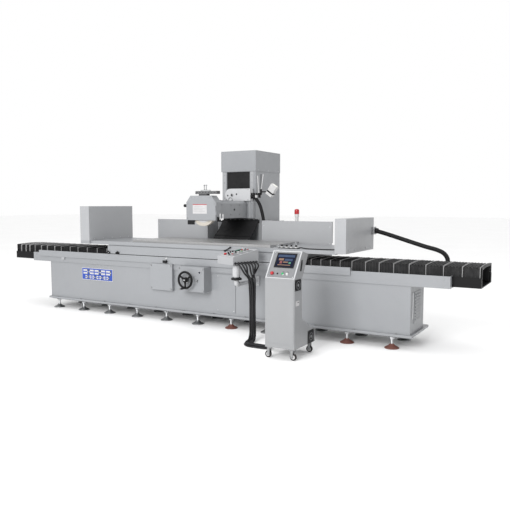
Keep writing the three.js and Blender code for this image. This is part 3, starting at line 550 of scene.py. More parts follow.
# ---- carried-over CAD nodes
KEPT = {
    "grey": ("bed", "way_tray", "table", "gearbox_housing", "access_cover", "cross_base", "saddle", "column",
             "column_cap", "column_shroud", "head_carriage", "spindle_housing", "wheel_guard", "guard_door"),
    "light": ("end_guard_left", "end_guard_right", "splash_panel_left", "splash_panel_right", "pendant_box"),
    "cabinet": ("console_cabinet",),
    "white": ("drive_cover",),
    "black": ("end_tray_left", "end_tray_right", "trip_dog", "cable_bracket"),
    "steel": ("v_way", "flat_way", "piston_rod", "cross_screw", "elevating_screw", "spindle"),
    "iron": ("table_cylinder", "dresser_bar"),
    "dull": ("caster_fork_front_left", "caster_fork_front_right"),
    "chuck": ("magnetic_chuck",),
}
FINE = {"trip_dog", "cable_bracket", "caster_fork_front_left", "caster_fork_front_right", "drive_cover"}


def finish_kept_nodes():
    """Small parts get finer edges than castings."""
    for material, nodes in KEPT.items():
        for node in nodes:
            finish_node(node, material, 1 if node in FINE else 2.5)


# ---- bed and feet
FOOT_COUNT, FOOT_X0, FOOT_PITCH = 11, -2.387, 0.4707
OXIDE_FEET = (6, 9, 10)


def make_feet(node, name):
    """Levelling feet: a domed pad, a threaded stem with its lock nut, and the strip that ties them."""
    b = Box(node)
    thread = [v for k in range(17) for v in (15, 46 + 4 * k, 13, 48 + 4 * k)]
    feet = Piece(name, "dull")
    for n, x in enumerate(spaced(FOOT_X0, FOOT_PITCH, FOOT_COUNT)):
        feet.use("oxide" if node == "feet_front" and n in OXIDE_FEET else "dull")
        feet.knob((x, b.y, 0), (70, 0, 72, 2, 72, 7, 68, 11, 45, 23, 26, 36, 22, 43, 19, 46), sides=40)
        feet.use("zinc").turned((x, b.y, 0), (1, 45, *thread, 15, 116, 1, 116), sides=20)
        feet.knob((x, b.y, 0.094), (24, 0, 26, 3, 26, 15, 24, 18), sides=6)
        feet.knob((x, b.y, 0.112), (30, 0, 30, 3))
    feet.use("grey").box(b.x0, b.x1, b.y - 0.022, b.y + 0.022, 0.1155, b.z1)
    feet.done("machine", slot="red_oxide_paint", bevel=0.8, replaces=[node])


def make_bed_details():
    bed, tray, gear = Box("bed"), Box("way_tray"), Box("gearbox_housing")
    # cover plate on the bed's front, right of the gearbox
    x0, x1 = gear.x1 + 0.075, gear.x1 + 0.33
    plate = Piece("front_cover_plate", "grey")
    plate.box(x0, x1, -0.0075, -GAP, 0.185, 0.618).box(x0, x1, -0.0155, -0.0125, 0.64, 0.69)
    plate.use("zinc").screws("-Y", ends(x0, x1, 0.02), -0.0075, (0.205, 0.598), 6, 3)
    plate.done("machine", slot="grey_paint", bevel=1.5)
    # vent panel with louvres on the right end face
    x, y0, y1, z0, z1 = BED_HALF + 0.005, 0.13, 0.36, 0.24, 0.56
    vent = Piece("bed_end_vent", "grey").box(x - 0.0035, x, y0, y1, z0, z1)
    for z in spaced(z0 + 0.035, 0.0305, 9):
        vent.prism([(x, z), (x + 0.009, z + 0.004), (x + 0.007, z + 0.01), (x, z + 0.02)], "Y",
                   *ends(y0, y1, 0.03))
    vent.use("zinc").screws("X", x, ends(y0, y1, 0.012), ends(z0, z1, 0.012), 6, 3)
    vent.use("bright").box(x - 0.0035, x + 0.002, 0.06, 0.088, 0.3, 0.56)
    vent.done("machine", slot="grey_paint", bevel=0.7)
    # plain two-tone plate, no lettering
    x0, x1, z0, z1 = -1.9, -1.35, 0.42, 0.58
    sign = Piece("bed_plate", "card").box(x0, x1, -0.004, -GAP, z0, z1)
    sign.use("blue").box(*ends(x0, x1, 0.007), -0.0055, -0.003, *ends(z0, z1, 0.007)).use("card")
    for low, high, count, margin in ((z0 + 0.078, 0.06, 5, 0.02), (z0 + 0.02, 0.04, 7, 0.055)):
        pitch = (x1 - x0 - 2 * margin) / count
        for k, left in enumerate(spaced(x0 + margin + 0.008, pitch, count)):
            right = left + pitch - 0.016
            for z in (low, low + high * 0.62):
                sign.box(left, right, -0.0062, -0.005, z, z + high * 0.38)
            x = left if k % 2 else right - 0.014
            sign.box(x, x + 0.014, -0.0062, -0.005, low, low + high)
    sign.done("machine", bevel=0.4)
    # bolts along the base flange and at the ends of the tray's front wall
    bolts = Piece("bed_bolts", "dull")
    bolts.screws("Z", spaced(-2.36, 0.43, 12), -BED_FLANGE / 2, bed.z0 + 0.0245, 8.5, 7)
    bolts.screws("-Y", ends(tray.x0, tray.x1, 0.06), -0.012, (0.66, 0.72), 6, 4)
    bolts.done("machine")
    # light tab under the front strip, near its left end
    Piece("strip_tab", "light").box(-2.262, -2.205, -0.0295, -0.0125, 0.668, 0.7015).done(
        "machine", bevel=1.5)


def make_rear_details():
    """Hatches on the cross base, the column's back door and the screws of its cap and shroud."""
    base, column, cap, shroud = (Box(n) for n in ("cross_base", "column", "column_cap", "column_shroud"))
    hatch = Piece("base_hatches", "grey")
    low, high, bolt_z = 0.17, 0.46, (0.19, 0.44)
    y = base.y1 + 0.004
    for x in ends(base.x0, base.x1, 0.22):
        hatch.use("grey").box(x - 0.13, x + 0.13, base.y1 + GAP, y, low, high)
        hatch.use("zinc").screws("Y", (x - 0.112, x + 0.112), y, bolt_z, 7, 4)
    for axis, x, side in (("-X", base.x0, -1), ("X", base.x1, 1)):
        outer = x + side * 0.004
        for y in (1.02, 1.62):
            hatch.use("grey").box(*sorted((outer, x + side * GAP)), y - 0.17, y + 0.17, low, high)
            hatch.use("zinc").screws(axis, outer, (y - 0.15, y + 0.15), bolt_z, 7, 4)
    hatch.done("machine", slot="grey_paint", bevel=1)
    y, x1 = column.y1 + 0.0045, column.x1
    door = Piece("column_back_door", "grey")
    door.box(*ends(column.x0, x1, 0.06), column.y1 + GAP, y, 1.22, 1.8)
    for z in spaced(1.62, 0.019, 8):
        door.prism([(y, z), (y + 0.006, z + 0.003), (y + 0.005, z + 0.007), (y, z + 0.013)], "X",
                   *ends(column.x0, x1, 0.13))
    door.use("dark").rod((x1 - 0.09, column.y1 + 0.004, 1.42), 0.012, 0.016, "Y")
    door.use("zinc").box(x1 - 0.094, x1 - 0.086, column.y1 + 0.015, column.y1 + 0.022, 1.4, 1.44)
    door.screws("Y", ends(column.x0, x1, 0.075), y, (1.235, 1.785), 6, 3)
    door.done("column", slot="grey_paint", bevel=0.8)
    caps = Piece("column_cap_screws", "zinc")
    caps.end_screws(cap, (cap.y, *ends(cap.y0, cap.y1, 0.06)), cap.z0 + 0.02, 6, 3)
    caps.end_screws(shroud, (shroud.y, *ends(shroud.y0, shroud.y1, 0.08)), ends(shroud.z0, shroud.z1, 0.03),
                    6, 3)
    caps.done("column")


# ---- way covers
COVER_FRONT, COVER_BACK = 0.071, 0.596
COVER_LOW, COVER_TOP, COVER_ARCH, ROOF_STEPS = 0.657, 0.849, 0.01, 10
PLEAT = 0.03
LEFT_PLATES = (-3.199, -3.102, -3.02, -2.906, -2.777, -2.654, -2.505, -2.372, -2.199, -2.049, -1.874, -1.693,
               -1.52)
RIGHT_PLATES = (1.418, 1.53, 1.639, 1.747, 1.875, 2.02, 2.163, 2.31, 2.464, 2.625, 2.79, 2.962, 3.119)


def cover_section(inset, low=COVER_LOW):
    """Front wall, arched roof and back wall of a way cover as one line of (y, z) points."""
    y0, y1 = ends(COVER_FRONT, COVER_BACK, inset)
    roof = [(y0 + (y1 - y0) * k / ROOF_STEPS,
             COVER_TOP - inset - COVER_ARCH * (1 - math.sin(math.pi * k / ROOF_STEPS)))
            for k in range(ROOF_STEPS + 1)]
    return [(y0, low), *roof, (y1, low)]


def make_way_cover(node, name, fixed, moving, plates):
    """Folded cloth and divider plates between the bed's end and the table."""
    follow = ("machine", "table", row(fixed, 0, 0), row(moving, 0, 0))
    steps = 2 * round(abs(moving - fixed) / PLEAT)
    stations = [fixed + (moving - fixed) * k / steps for k in range(steps + 1)]
    outer, inner, back = (cover_section(inset) for inset in (0.004, 0.02, 0.024))
    cloth = Piece(f"{name}_folds", "cloth")
    cloth.sweep([[(x, y, z) for y, z in (outer if k % 2 else inner) + back[::-1]]
                 for k, x in enumerate(stations)])
    cloth.done(None, slot="black_rubber", replaces=[node], blend=follow)
    # the paler hoops on every other station, the pleat ridges, are a painted highlight standing in for the light
    # the ridges catch; the dividers are real white plates
    for label, material, places, thick, high, low in (
            ("fold_edge_highlights", "ridge_highlight", stations[1::2], 0.0022, 0.0028, 0.0075),
            ("dividers", "card", plates, 0.0065, 0.0, 0.011)):
        hoops = Piece(f"{name}_{label}", material)
        for x in places:
            hoops.prism(cover_section(high) + cover_section(low)[::-1], "X", x - thick / 2, x + thick / 2)
        hoops.done(None, blend=follow)


def make_cover_ends():
    """The black frames that clamp the covers' outer ends, and the nuts on the rod's post."""
    outline = cover_section(0, COVER_LOW - 0.004) + cover_section(0.026, COVER_LOW - 0.004)[::-1]
    for name, x, side, axis in (("left", Box("bellows_left").x0, 1, "X"),
                                ("right", Box("bellows_right").x1, -1, "-X")):
        face = x + side * 0.01
        end = Piece(f"cover_end_{name}", "black").prism(outline, "X", *sorted((x + side * 0.0005, face)))
        end.use("zinc").screws(axis, face, ends(COVER_FRONT, COVER_BACK, 0.12), COVER_TOP - 0.01, 7, 5)
        end.done("machine", slot="black_paint", bevel=0.8)
    post = Box("piston_rod")
    nuts = Piece("rod_post_bolts", "zinc")
    for y in ends(post.y0, post.y1, 0.03):
        for x in (post.x1 + 0.0002, post.x0 - 0.0162):
            nuts.rod((x, y, 0.735), 0.016, 0.01, "X", 6, 0.001)
    nuts.done("machine")


# ---- table
def make_table_details():
    table, chuck, dog, guard = (Box(n) for n in ("table", "magnetic_chuck", "trip_dog", "end_guard_right"))
    x = dog.x - 0.155
    clamp = Piece("table_clamps", "dark")
    clamp.box(x - 0.024, x + 0.024, -0.052, -0.0303, dog.z0, dog.z0 + 0.02)
    clamp.box(x - 0.006, x + 0.006, -0.048, -0.036, dog.z0 + 0.019, dog.z1)
    clamp.rod((0.4, -0.0302, 0.893), 0.018, 0.011, "-Y")
    clamp.turn = Matrix.Translation((0.4, -0.046, 0.893)) @ Matrix.Rotation(math.radians(-28), 4, "Y")
    clamp.rod((0, 0, 0), 0.075, 0.0055, "X", 20)
    clamp.turned((0.07, 0, 0), (1, 0, 7, 2, 10, 10, 9, 22, 1, 26), "X", 24)
    clamp.done("table", slot="black_paint", bevel=1)
    screw = Piece("dog_screws", "zinc").screw((x + 0.013, -0.052, dog.z0 + 0.01), "-Y", 6, 4)
    screw.done("table")
    # chuck: clamping lugs, end terminal block and its lead
    lugs = Piece("chuck_lugs", "steel")
    top = table.z1 + 0.014
    for x, side in ((chuck.x0 - 0.0002, -1), (chuck.x1 + 0.0002, 1)):
        for y in ends(chuck.y0, chuck.y1, 0.14):
            lugs.box(*sorted((x, x + side * 0.055)), y - 0.03, y + 0.03, table.z1 + 0.0004, top)
            lugs.knob((x + side * 0.03, y, top), (15, 0, 17, 2, 17, 10, 15, 12), sides=6)
    lugs.done("table", slot="ground_steel", bevel=1)
    x = chuck.x1 + 0.11
    block = Piece("chuck_terminals", "dark").box(x, x + 0.235, 0.002, 0.052, 0.9455, 0.952)
    for cx in spaced(x + 0.032, 0.057, 4):
        block.use("plastic").knob((cx, 0.027, 0.952), (17, 0, 17, 8, 14, 12), sides=32)
        block.use("dark").knob((cx, 0.027, 0.963), (11, 0, 12, 6, 10, 18, 7, 21))
    block.done("table", slot="black_paint", bevel=1)
    path = smooth_curve([(x + 0.234, 0.027, 0.955), (x + 0.262, 0.026, 0.958), (x + 0.3, 0.018, 0.954),
                         (x + 0.36, 0.004, 0.9515), (x + 0.44, -0.004, 0.9515), (x + 0.56, 0.000, 0.9515),
                         (x + 0.64, 0.004, 0.953), (guard.x0 + 0.0005, 0.006, 0.956)], 10)
    lead = Piece("chuck_lead", "jacket").sweep(rings_along(path, 0.006, 14))
    lead.use("dark").turned((guard.x0 - 0.022, 0.006, 0.9575), (7, 0, 9, 4, 12, 16, 12, 21.5), "X", 24)
    lead.done("table", slot="cable_jacket")


def make_end_guard_details():
    """Screws along the feet of the table's end guards."""
    left, right = Box("end_guard_left"), Box("end_guard_right")
    ys = spaced(left.y0 + 0.09, (left.y1 - left.y0 - 0.18) / 4, 5)
    bolts = Piece("end_guard_screws", "zinc").end_screws(left, ys, left.z0 + 0.022, 7, 4)
    bolts.screws("X", right.x1, ys, right.z0 + 0.04, 7, 4).done("table")


def make_table_conduit():
    """Ribbed conduit with a square flange at its upper end and a clamp collar at each end."""
    x, y = Box("end_guard_right").x1, 0.8
    path = smooth_curve([(x + 0.012, y, 1.121), (1.978, y, 1.094), (2.42, y, 0.965), (2.56, y, 0.929),
                         (2.625, y, 0.898), (2.662, y, 0.85), (2.672, y, 0.781)], 40)
    pipe = Piece("table_conduit_hose", "rubber")
    pipe.sweep(rings_along(resample(path, 0.0035)[0], ribbed(0.0245, 0.0022, 0.014), 24))
    pipe.use("light").box(x + GAP, x + 0.012, y - 0.09, y + 0.03, 1.08, 1.165)
    pipe.use("zinc").screws("X", x + 0.012, (y - 0.078, y + 0.018), (1.092, 1.153), 6, 4)
    pipe.use("dark").knob((x + 0.011, y, 1.1205), (31, 0, 31, 20, 27, 34), "X", 32)
    pipe.knob((2.672, y, 0.7765), (29, 0, 29, 30, 26, 38), sides=32)
    pipe.done("table", slot="dark_iron", replaces=["table_conduit"])


# ---- front controls
GEARBOX_FRONT = -0.15
HAND_X, HAND_Y, HAND_Z = -0.03, -0.215, 0.552      # the handwheel's middle
HAND_REACH, HAND_RIM = 0.092, 0.013                 # the rim's circle and its thickness


def make_handwheel():
    """Cast wheel with a round rim, three tapering spokes, a hub and nut, a handle and its shaft."""
    x, y, z = HAND_X, HAND_Y, HAND_Z
    centre, across = Vector((x, y, z)), Vector((0, 1, 0))
    wheel = Piece("handwheel_cast", "black")
    rim = circle(Vector(), Vector((1, 0, 0)), Vector((0, 0, 1)), 72)
    wheel.sweep([circle(centre + out * HAND_REACH, out * HAND_RIM, across * HAND_RIM, 18) for out in rim],
                closed=True)
    wheel.turned((x, y - 0.018, z), (1, 2, 14, 0, 24, 2, 29, 8, 30, 30, 25, 36, 1, 36), "Y", 40)
    for out in circle(Vector(), Vector((0, 0, -1)), Vector((1, 0, 0)), 3):
        side = Vector((-out.z, 0, out.x))
        wheel.sweep([circle(centre + out * s, side * wide, across * deep, 16) for s, wide, deep in (
            (0.018, 0.017, 0.011), (0.045, 0.0125, 0.0085), (0.07, 0.011, 0.0078), (0.088, 0.015, 0.01))])
    wheel.use("dark").turned((x, y - 0.085, z - HAND_REACH), (
        1, 0, 7, 1, 10.5, 7, 11.5, 22, 10.5, 45, 8, 62, 9, 68, 7, 74, 6, 86, 1, 86), "Y", 28)
    wheel.use("steel").rod((x, y + 0.016, z), Box("handwheel").y1 - y - 0.016, 0.0118, "Y")
    wheel.use("zinc").turned((x, y - 0.024, z), (1, 0, 8, 1, 9, 3, 9, 8, 1, 8), "Y", 6)
    wheel.done("handwheel", slot="black_paint", replaces=["handwheel"])


def make_gearbox_details():
    gear, access = Box("gearbox_housing"), Box("access_cover")
    face = (HAND_X, GEARBOX_FRONT - 0.0145, HAND_Z)
    bolts = Piece("gearbox_screws", "dull")
    for b, y, inset in ((gear, GEARBOX_FRONT, 0.018), (access, access.y0, 0.02)):
        bolts.screws("-Y", ends(b.x0, b.x1, inset), y, (b.z0 + inset, 0.678), 9.5, 6)
    bolts.use("steel").knob(face, (16, 0, 16, 2), "-Y", 40).done("machine")
    # graduated collar behind the handwheel
    dial = Piece("handwheel_dial", "steel")
    dial.turned(face, (12.8, 0, 40, 0, 41, 1, 38, 18, 36, 19, 12.8, 19), "-Y", 72).use("dark")
    for k in range(36):
        dial.turn = Matrix.Translation(face) @ Matrix.Rotation(2 * math.pi * k / 36, 4, "Y")
        dial.box(-0.0004, 0.0004, -0.0165, -0.0105 if k % 3 else -0.0065, 0.0378, 0.0402)
    dial.done("machine")
    # small pull knob and sight glass
    y, sight_x = GEARBOX_FRONT - GAP, gear.x1 - 0.06
    knob = Piece("gearbox_knob", "dull")
    knob.turned((0.098, y, 0.548), (1, 0, 6, 0, 6, 14, 11, 18, 12, 26, 9, 31, 1, 32), "-Y", 28)
    knob.use("glass").knob((sight_x, y, 0.64), (14, 0, 14, 3), "-Y")
    knob.use("steel").turned((sight_x, y, 0.64), (14.2, 0, 19, 0, 19, 5, 14.2, 5), "-Y", 28)
    knob.done("machine", bevel=0.4)


def make_reversing_lever():
    x, y, z = -0.446, -0.0303, 0.73
    knob = Piece("reversing_knob", "dark").knob((x, y, z), (16.8, 0, 17, 3, 15, 10, 8, 12, 8, 36), "-Y", 36)
    knob.box(x - 0.026, x + 0.026, y - 0.0455, y - 0.03, z - 0.0155, z + 0.0155)
    knob.done("reversing_lever", slot="black_paint", bevel=3, replaces=["reversing_lever"])
    x, z = x - 0.004, z + 0.036
    light = Piece("strip_light", "zinc").knob((x, y + 0.0001, z), (13, 0, 13, 3), "-Y", 32)
    light.use("plastic").turned((x, y - 0.0028, z), (10, 0, 10.5, 2, 8, 6, 4, 8, 1, 8.5), "-Y", 32)
    light.done("machine")


# ---- splash panels and light
def make_signal_light():
    b = Box("signal_light")
    x, y = b.x, b.y1 - 0.03
    post = Piece("signal_post", "light").box(x - 0.014, x + 0.014, b.y0, y - 0.01, b.z0, b.z0 + 0.06)
    post.use("plastic").turned((x, y, 1.14), (1, 0, 26, 0, 27, 2, 27, 10, 22, 14, 22, 120, 27, 124, 27, 156,
                                              1, 157), sides=40)
    post.use("red").turned((x, y, 1.2975), (1, 0, 29, 0, 29.5, 3, 28.5, 10, 29.5, 17, 28.5, 24, 29.5, 31,
                                            28.5, 38, 29, 45, 26, 53, 18, 60, 1, 62), sides=40)
    post.done("machine", slot="white_plastic", bevel=0.6, replaces=["signal_light"])


SPLASH_FRONT = 0.84


def make_splash_details():
    bolts = Piece("splash_screws", "zinc")
    for b in (Box("splash_panel_left"), Box("splash_panel_right")):
        bolts.screws("-Y", spaced(b.x0 + 0.06, (b.x1 - b.x0 - 0.12) / 4, 5), SPLASH_FRONT, 0.672, 6, 3)
        bolts.screws("-Y", ends(b.x0, b.x1, 0.028), SPLASH_FRONT, (0.75, 0.95, 1.15), 5, 2.5)
    bolts.done("machine")


# ---- grinding head
WHEEL_X, WHEEL_Z = -0.112, 1.331


def make_wheel():
    wheel = Piece("wheel_disc", "abrasive")
    wheel.turned((WHEEL_X, 0.266, WHEEL_Z), (63.5, 0, 176, 0, 177.5, 1.5, 177.5, 48.5, 176, 50, 63.5, 50),
                 "Y", 128)
    wheel.use("card").turned((WHEEL_X, 0.2654, WHEEL_Z), (91.5, 0, 135, 0, 135, 0.7, 91.5, 0.7), "Y", 96)
    wheel.done("spindle", slot="abrasive", replaces=["grinding_wheel"])
    bolts = Piece("flange_screws", "dull")
    for place in circle(Vector((WHEEL_X, 0.254, WHEEL_Z)), Vector((0.074, 0, 0)), Vector((0, 0, 0.074)), 6):
        bolts.screw(place, "-Y", 6, 3)
    bolts.done("spindle")


def make_guard_details():
    y = Box("guard_door").y0
    x0, x1, z0, z1 = -0.243, -0.036, 1.303, 1.418
    label = Piece("guard_label", "card").box(x0, x1, y - 0.0012, y - 0.0002, z0, z1)
    label.use("red").box(x0, x1, y - 0.0018, y - 0.0011, z1 - 0.009, z1 - 0.001).use("panel")
    for k, z in enumerate(spaced(z1 - 0.032, -0.018, 4)):
        label.box(x0 + 0.018, x1 - (0.03 if k % 2 else 0.06), y - 0.0016, y - 0.0011, z, z + 0.0022)
    label.done("guard_door")
    trim = Piece("door_trim", "dull").screws("-Y", (-0.322, 0.07), y, (1.245, 1.425), 6, 4)
    trim.screws("-Y", (-0.262, 0.01), y, 1.503, 6, 4).done("guard_door")
    # black latch knob on the guard's left edge, and the rubber flap below it
    latch = Piece("latch_knob", "dark")
    latch.turned((-0.3405, 0.295, 1.4), (1, 0, 15.8, 0, 15.8, 28, 1, 28.5), "-X", 32)
    latch.box(-0.356, -0.344, 0.243, 0.295, 1.388, 1.412)
    latch.turned((-0.3405, 0.243, 1.4), (1, 0, 12, 0, 13, 6, 18.5, 12, 19, 30, 15.5, 37, 1, 38), "-X", 36)
    latch.done("head", slot="black_paint")
    x0, x1 = -0.3325, -0.226
    sheet = []
    for k, z in enumerate(spaced(1.234, -0.008, 9)):
        y = 0.2495 - 0.003 * math.sin(math.pi * k / 8)
        sheet.append([(x0, y, z), (x1, y, z), (x1, y + 0.003, z), (x0, y + 0.003, z)])
    flap = Piece("guard_flap", "rubber").sweep(sheet).box(x0, x0 + 0.003, 0.2525, 0.345, 1.17, 1.234)
    flap.done("head", slot="black_rubber", bevel=0.8)
    bolts = Piece("guard_screws", "dull").screws("X", 0.089, (0.27, 0.335), (1.26, 1.34, 1.42), 5, 3)
    bolts.done("head")


def make_dresser():
    """The dresser's rail on the wheel head, and the carriage with its two spindles."""
    bar, middle, top = Box("dresser_bar"), 1.558, 1.5763
    rail = Piece("dresser_rail", "dull")
    for z in (1.5455, 1.5655):
        rail.box(bar.x0 + 0.02, bar.x1 - 0.012, bar.y0 - 0.0042, bar.y0 - GAP, z, z + 0.005)
    rail.screws("-Y", spaced(bar.x0 + 0.045, 0.043, 7), bar.y0, middle, 5.5, 4)
    rail.use("plastic").turned((bar.x0 + GAP, bar.y, middle), (1, 0, 17, 0, 19, 4, 19, 18, 14, 23, 1, 24),
                               "-X", 32)
    rail.done("head")
    slide = Piece("dresser_carriage", "steel")
    slide.box(-0.152, -0.032, *ends(bar.y0, bar.y1, 0.008), top, top + 0.014).use("dull")
    for x in (-0.11, -0.08):
        slide.turned((x, bar.y, top + 0.0135), (1, 0, 9, 0, 9, 6, 5, 10, 5, 46, 8.5, 48, 9.2, 52, 9.2, 57.7,
                                                7.5, 61.5, 1, 61.7), sides=28)
    slide.done("dresser", slot="ground_steel", bevel=1, replaces=["dresser_slide"])


def make_nozzle():
    """Coolant manifold: a black bar with two white valves beside the wheel."""
    b = Box("coolant_nozzle")
    y, z = 0.284, b.z0
    bar = Piece("coolant_manifold", "black").box(b.x0 + 0.0017, b.x1, y - 0.016, y + 0.016, z, z + 0.014)
    bar.box(0.0893, 0.111, y - 0.012, y + 0.012, z + 0.013, z + 0.054)
    for x, tip in ((0.124, 1.306), (0.164, 1.3)):
        h = 1000 * (tip - z - 0.024)
        bar.use("black").turned((x, y, z + 0.0135), (1, 0, 12, 0, 12, 10, 1, 11), sides=6)
        bar.use("plastic").knob((x, y, z + 0.024), (8.5, 0, 8.5, 18, 6.5, 22, 6.5, h - 30, 8.5, h - 26,
                                                    8.5, h - 3, 6, h))
    bar.done("head", slot="black_paint", bevel=1.2, replaces=["coolant_nozzle"])


def make_drive_cover_details():
    y = Box("drive_cover").y0
    hub = Piece("drive_hub", "dull").knob((-0.156, y, 1.538), (21, 0, 21.5, 2, 19, 5), "-Y", 40)
    hub.use("dark").knob((-0.156, y - 0.0048, 1.538), (12, 0, 12, 2, 8, 3), "-Y", 32)
    for x, z in ((-0.222, 1.53), (-0.086, 1.548)):
        hub.knob((x, y, z), (10.5, 0, 10.5, 1.6, 8, 2), "-Y")
    hub.use("dull").screws("-Y", 0.09, y, (1.476, 1.606), 6, 3).done("head")


def make_housing_details():
    b = Box("spindle_housing")
    parts = Piece("housing_parts", "dull").end_screws(b, (0.42, 0.62, 0.82, 0.98), (1.29, 1.41), 8, 5)
    parts.use("dark").knob((b.x1 + 0.0002, 0.7, 1.35), (13, 0, 13, 3, 9, 6), "X")
    parts.use("light").box(*ends(b.x0, b.x1, 0.036), 0.44, 0.6, b.z1 + GAP, b.z1 + 0.006)
    parts.use("dull").screws("Z", ends(b.x0, b.x1, 0.05), (0.455, 0.585), b.z1 + 0.006, 6, 4)
    # lifting eye on the housing's back half
    x, y, z = -0.101, 0.86, b.z1
    eye = smooth_curve([(x - 0.024, y, z), (x - 0.027, y, z + 0.022), (x, y, z + 0.043), (x + 0.027, y, z + 0.022),
                        (x + 0.024, y, z)])
    parts.sweep(rings_along(eye, 0.006, 14)).rod((x, y, z), 0.006, 0.034)
    parts.done("head", bevel=0.8)
    b = Box("head_carriage")
    gib = Piece("carriage_gibs", "light")
    for x in (b.x1 - 0.052, b.x0 + 0.034):
        gib.box(x, x + 0.018, b.y0 - 0.004, b.y0 - GAP, *ends(b.z0, b.z1, 0.004))
    gib.use("dull").screws("-Y", ends(b.x0, b.x1, 0.02), b.y0, (1.26, 1.35, 1.435), 7, 4)
    gib.done("head", slot="grey_paint", bevel=1)


def make_bracket_and_lamp():
    x, y, z = 0.262, 1.022, 1.576
    parts = Piece("bracket_parts", "plastic")
    parts.knob((x - 0.068, y - 0.004, z - 0.0395), (14, 0, 15, 4, 15, 30, 11, 36), "-Z")
    for low, high in (((-0.03, -0.006, -0.016), (-0.052, 0.004, 0.205)),
                      ((0.006, -0.004, 0.03), (0.03, 0.006, 0.222))):
        parts.sweep(rings_along([Vector((x, y, z)) + Vector(end) for end in (low, high)], 0.0055))
    parts.use("dark").knob((x, y, z + 0.018), (15, 0, 15.5, 4, 15.5, 12, 12, 16))
    parts.use("dull").screws("-Y", spaced(Box("drive_cover").x1 + 0.03, 0.036, 3), y - 0.018, z - 0.027,
                             5, 4)
    parts.done("head", bevel=0.6)
    # lamp: rounded head with a dark heat-sink band and a lens, on a short knuckle
    lamp = Piece("lamp_head", "plastic")
    lamp.turn = Matrix.Translation((0.424, y, z + 0.016)) @ Matrix.Rotation(math.radians(35), 4, "Y")
    lamp.box(-0.045, 0.045, -0.034, 0.034, -0.02, 0.075)
    lamp.box(-0.045, 0.045, -0.034, 0.034, -0.075, -0.04)
    lamp.use("dark").box(-0.043, 0.043, -0.03, 0.03, -0.041, -0.019)
    for d in spaced(-0.0385, 0.004, 5):
        lamp.box(-0.046, 0.046, -0.033, 0.033, d, d + 0.0018)
    lamp.use("lens").box(-0.038, 0.038, -0.027, 0.027, 0.0755, 0.0765)
    lamp.turn = Matrix.Identity(4)
    lamp.use("dark").knob((x + 0.0123, y, z), (8, 0, 8, 74, 13, 80, 14, 90, 14, 122), "X")
    lamp.done("lamp", slot="white_plastic", bevel=4, replaces=["lamp"])


def make_head_conduit():
    """Thick ribbed conduit from the drive cover's side down behind the column's shroud."""
    path = smooth_curve([(0.1502, 1.022, 1.515), (0.176, 1.024, 1.5), (0.205, 1.03, 1.462), (0.236, 1.036, 1.41),
                         (0.262, 1.042, 1.33), (0.282, 1.048, 1.23), (0.292, 1.056, 1.12), (0.296, 1.07, 1.000),
                         (0.29, 1.09, 0.9), (0.268, 1.12, 0.83), (0.2302, 1.15, 0.8)], 24)
    hose = Piece("head_hose", "rubber")
    hose.sweep(rings_along(resample(path, 0.003)[0], ribbed(0.0222, 0.002, 0.011), 22))
    hose.done(None, slot="black_rubber", replaces=["head_conduit"],
              blend=("column", "head", row(0, 0, 0.84), row(0, 0, 1.47)))
    for name, body, place, length in (("low", "column", (0.2062, 1.16, 0.7945), 20),
                                      ("top", "head", (0.1225, 1.022, 1.5165), 28)):
        gland = Piece(f"hose_gland_{name}", "dark").knob(place, (28, 0, 28, 12, 25, length), "X")
        gland.done(body, slot="black_rubber", bevel=0.6)


# ---- column front and apron
def make_column_details():
    column = Box("column")
    x0, x1, z0, z1 = -0.296, 0.057, 1.612, 1.841    # the black cover in the column's window
    y = column.y0 + 0.012
    rings = []
    for k, z in enumerate(spaced(z0, (z1 - z0) / 24, 25)):
        front, back = y - (0.0044 if k % 2 else 0.006), y - 0.0004
        rings.append([(x0, front, z), (x1, front, z), (x1, back, z), (x0, back, z)])
    Piece("column_window_cover", "rubber").sweep(rings).done("column", slot="black_rubber")
    y = column.y0 - 0.004
    rails = Piece("column_rails", "light")
    for rx0, rx1 in ((column.x0 + 0.01, column.x0 + 0.06), (column.x1 - 0.078, column.x1 - 0.03)):
        rails.box(rx0, rx1, y, column.y0 - GAP, 1.205, column.z1 - 0.004)
    rails.use("dull").screws("-Y", (column.x0 + 0.035, column.x1 - 0.054), y, (1.3, 1.5, 1.7, 1.8), 7, 3)
    rails.done("column", slot="grey_paint", bevel=1)


APRON_SEAM = 1.01
APRON_ACROSS, APRON_UP = 44, 20                     # steps of the curtain's mesh
SAG = 0.01
WAVE_DEPTH, WAVE_FROM, WAVE_RISE = 0.0028, 0.968, 0.25


def apron_line(start, end):
    """The curtain's sloping part from its seam up to its batten, as (y, z), with a slight sag."""
    line = []
    for k in range(APRON_UP + 1):
        share = k / APRON_UP
        sag = SAG * math.sin(math.pi * share)
        line.append((start[0] + (end[0] - start[0]) * share + sag * 0.4,
                     start[1] + (end[1] - start[1]) * share - sag))
    return line


def apron_length(name, line, blend):
    """One length of the curtain, hung along a (y, z) line, with shallow waves in its sloping part."""
    b = Box("way_apron")
    rings = []
    shares = spaced(0, 1 / APRON_ACROSS, APRON_ACROSS + 1)
    for y, z in line:
        height = (z - WAVE_FROM) / WAVE_RISE
        depth = WAVE_DEPTH * max(0.0, min(1.0, height)) * (1.1 - min(1, height))
        front = [(b.x0 + 0.002 + (b.x1 - b.x0 - 0.004) * s, y + depth * math.sin(s * 23 + 0.6), z) for s in shares]
        rings.append(front + [(x, y + 0.003, z - 0.0022) for x, y, z in reversed(front)])
    piece = Piece(name, "rubber").sweep(rings)
    piece.done(None, slot="black_rubber", replaces=["way_apron"], blend=blend)


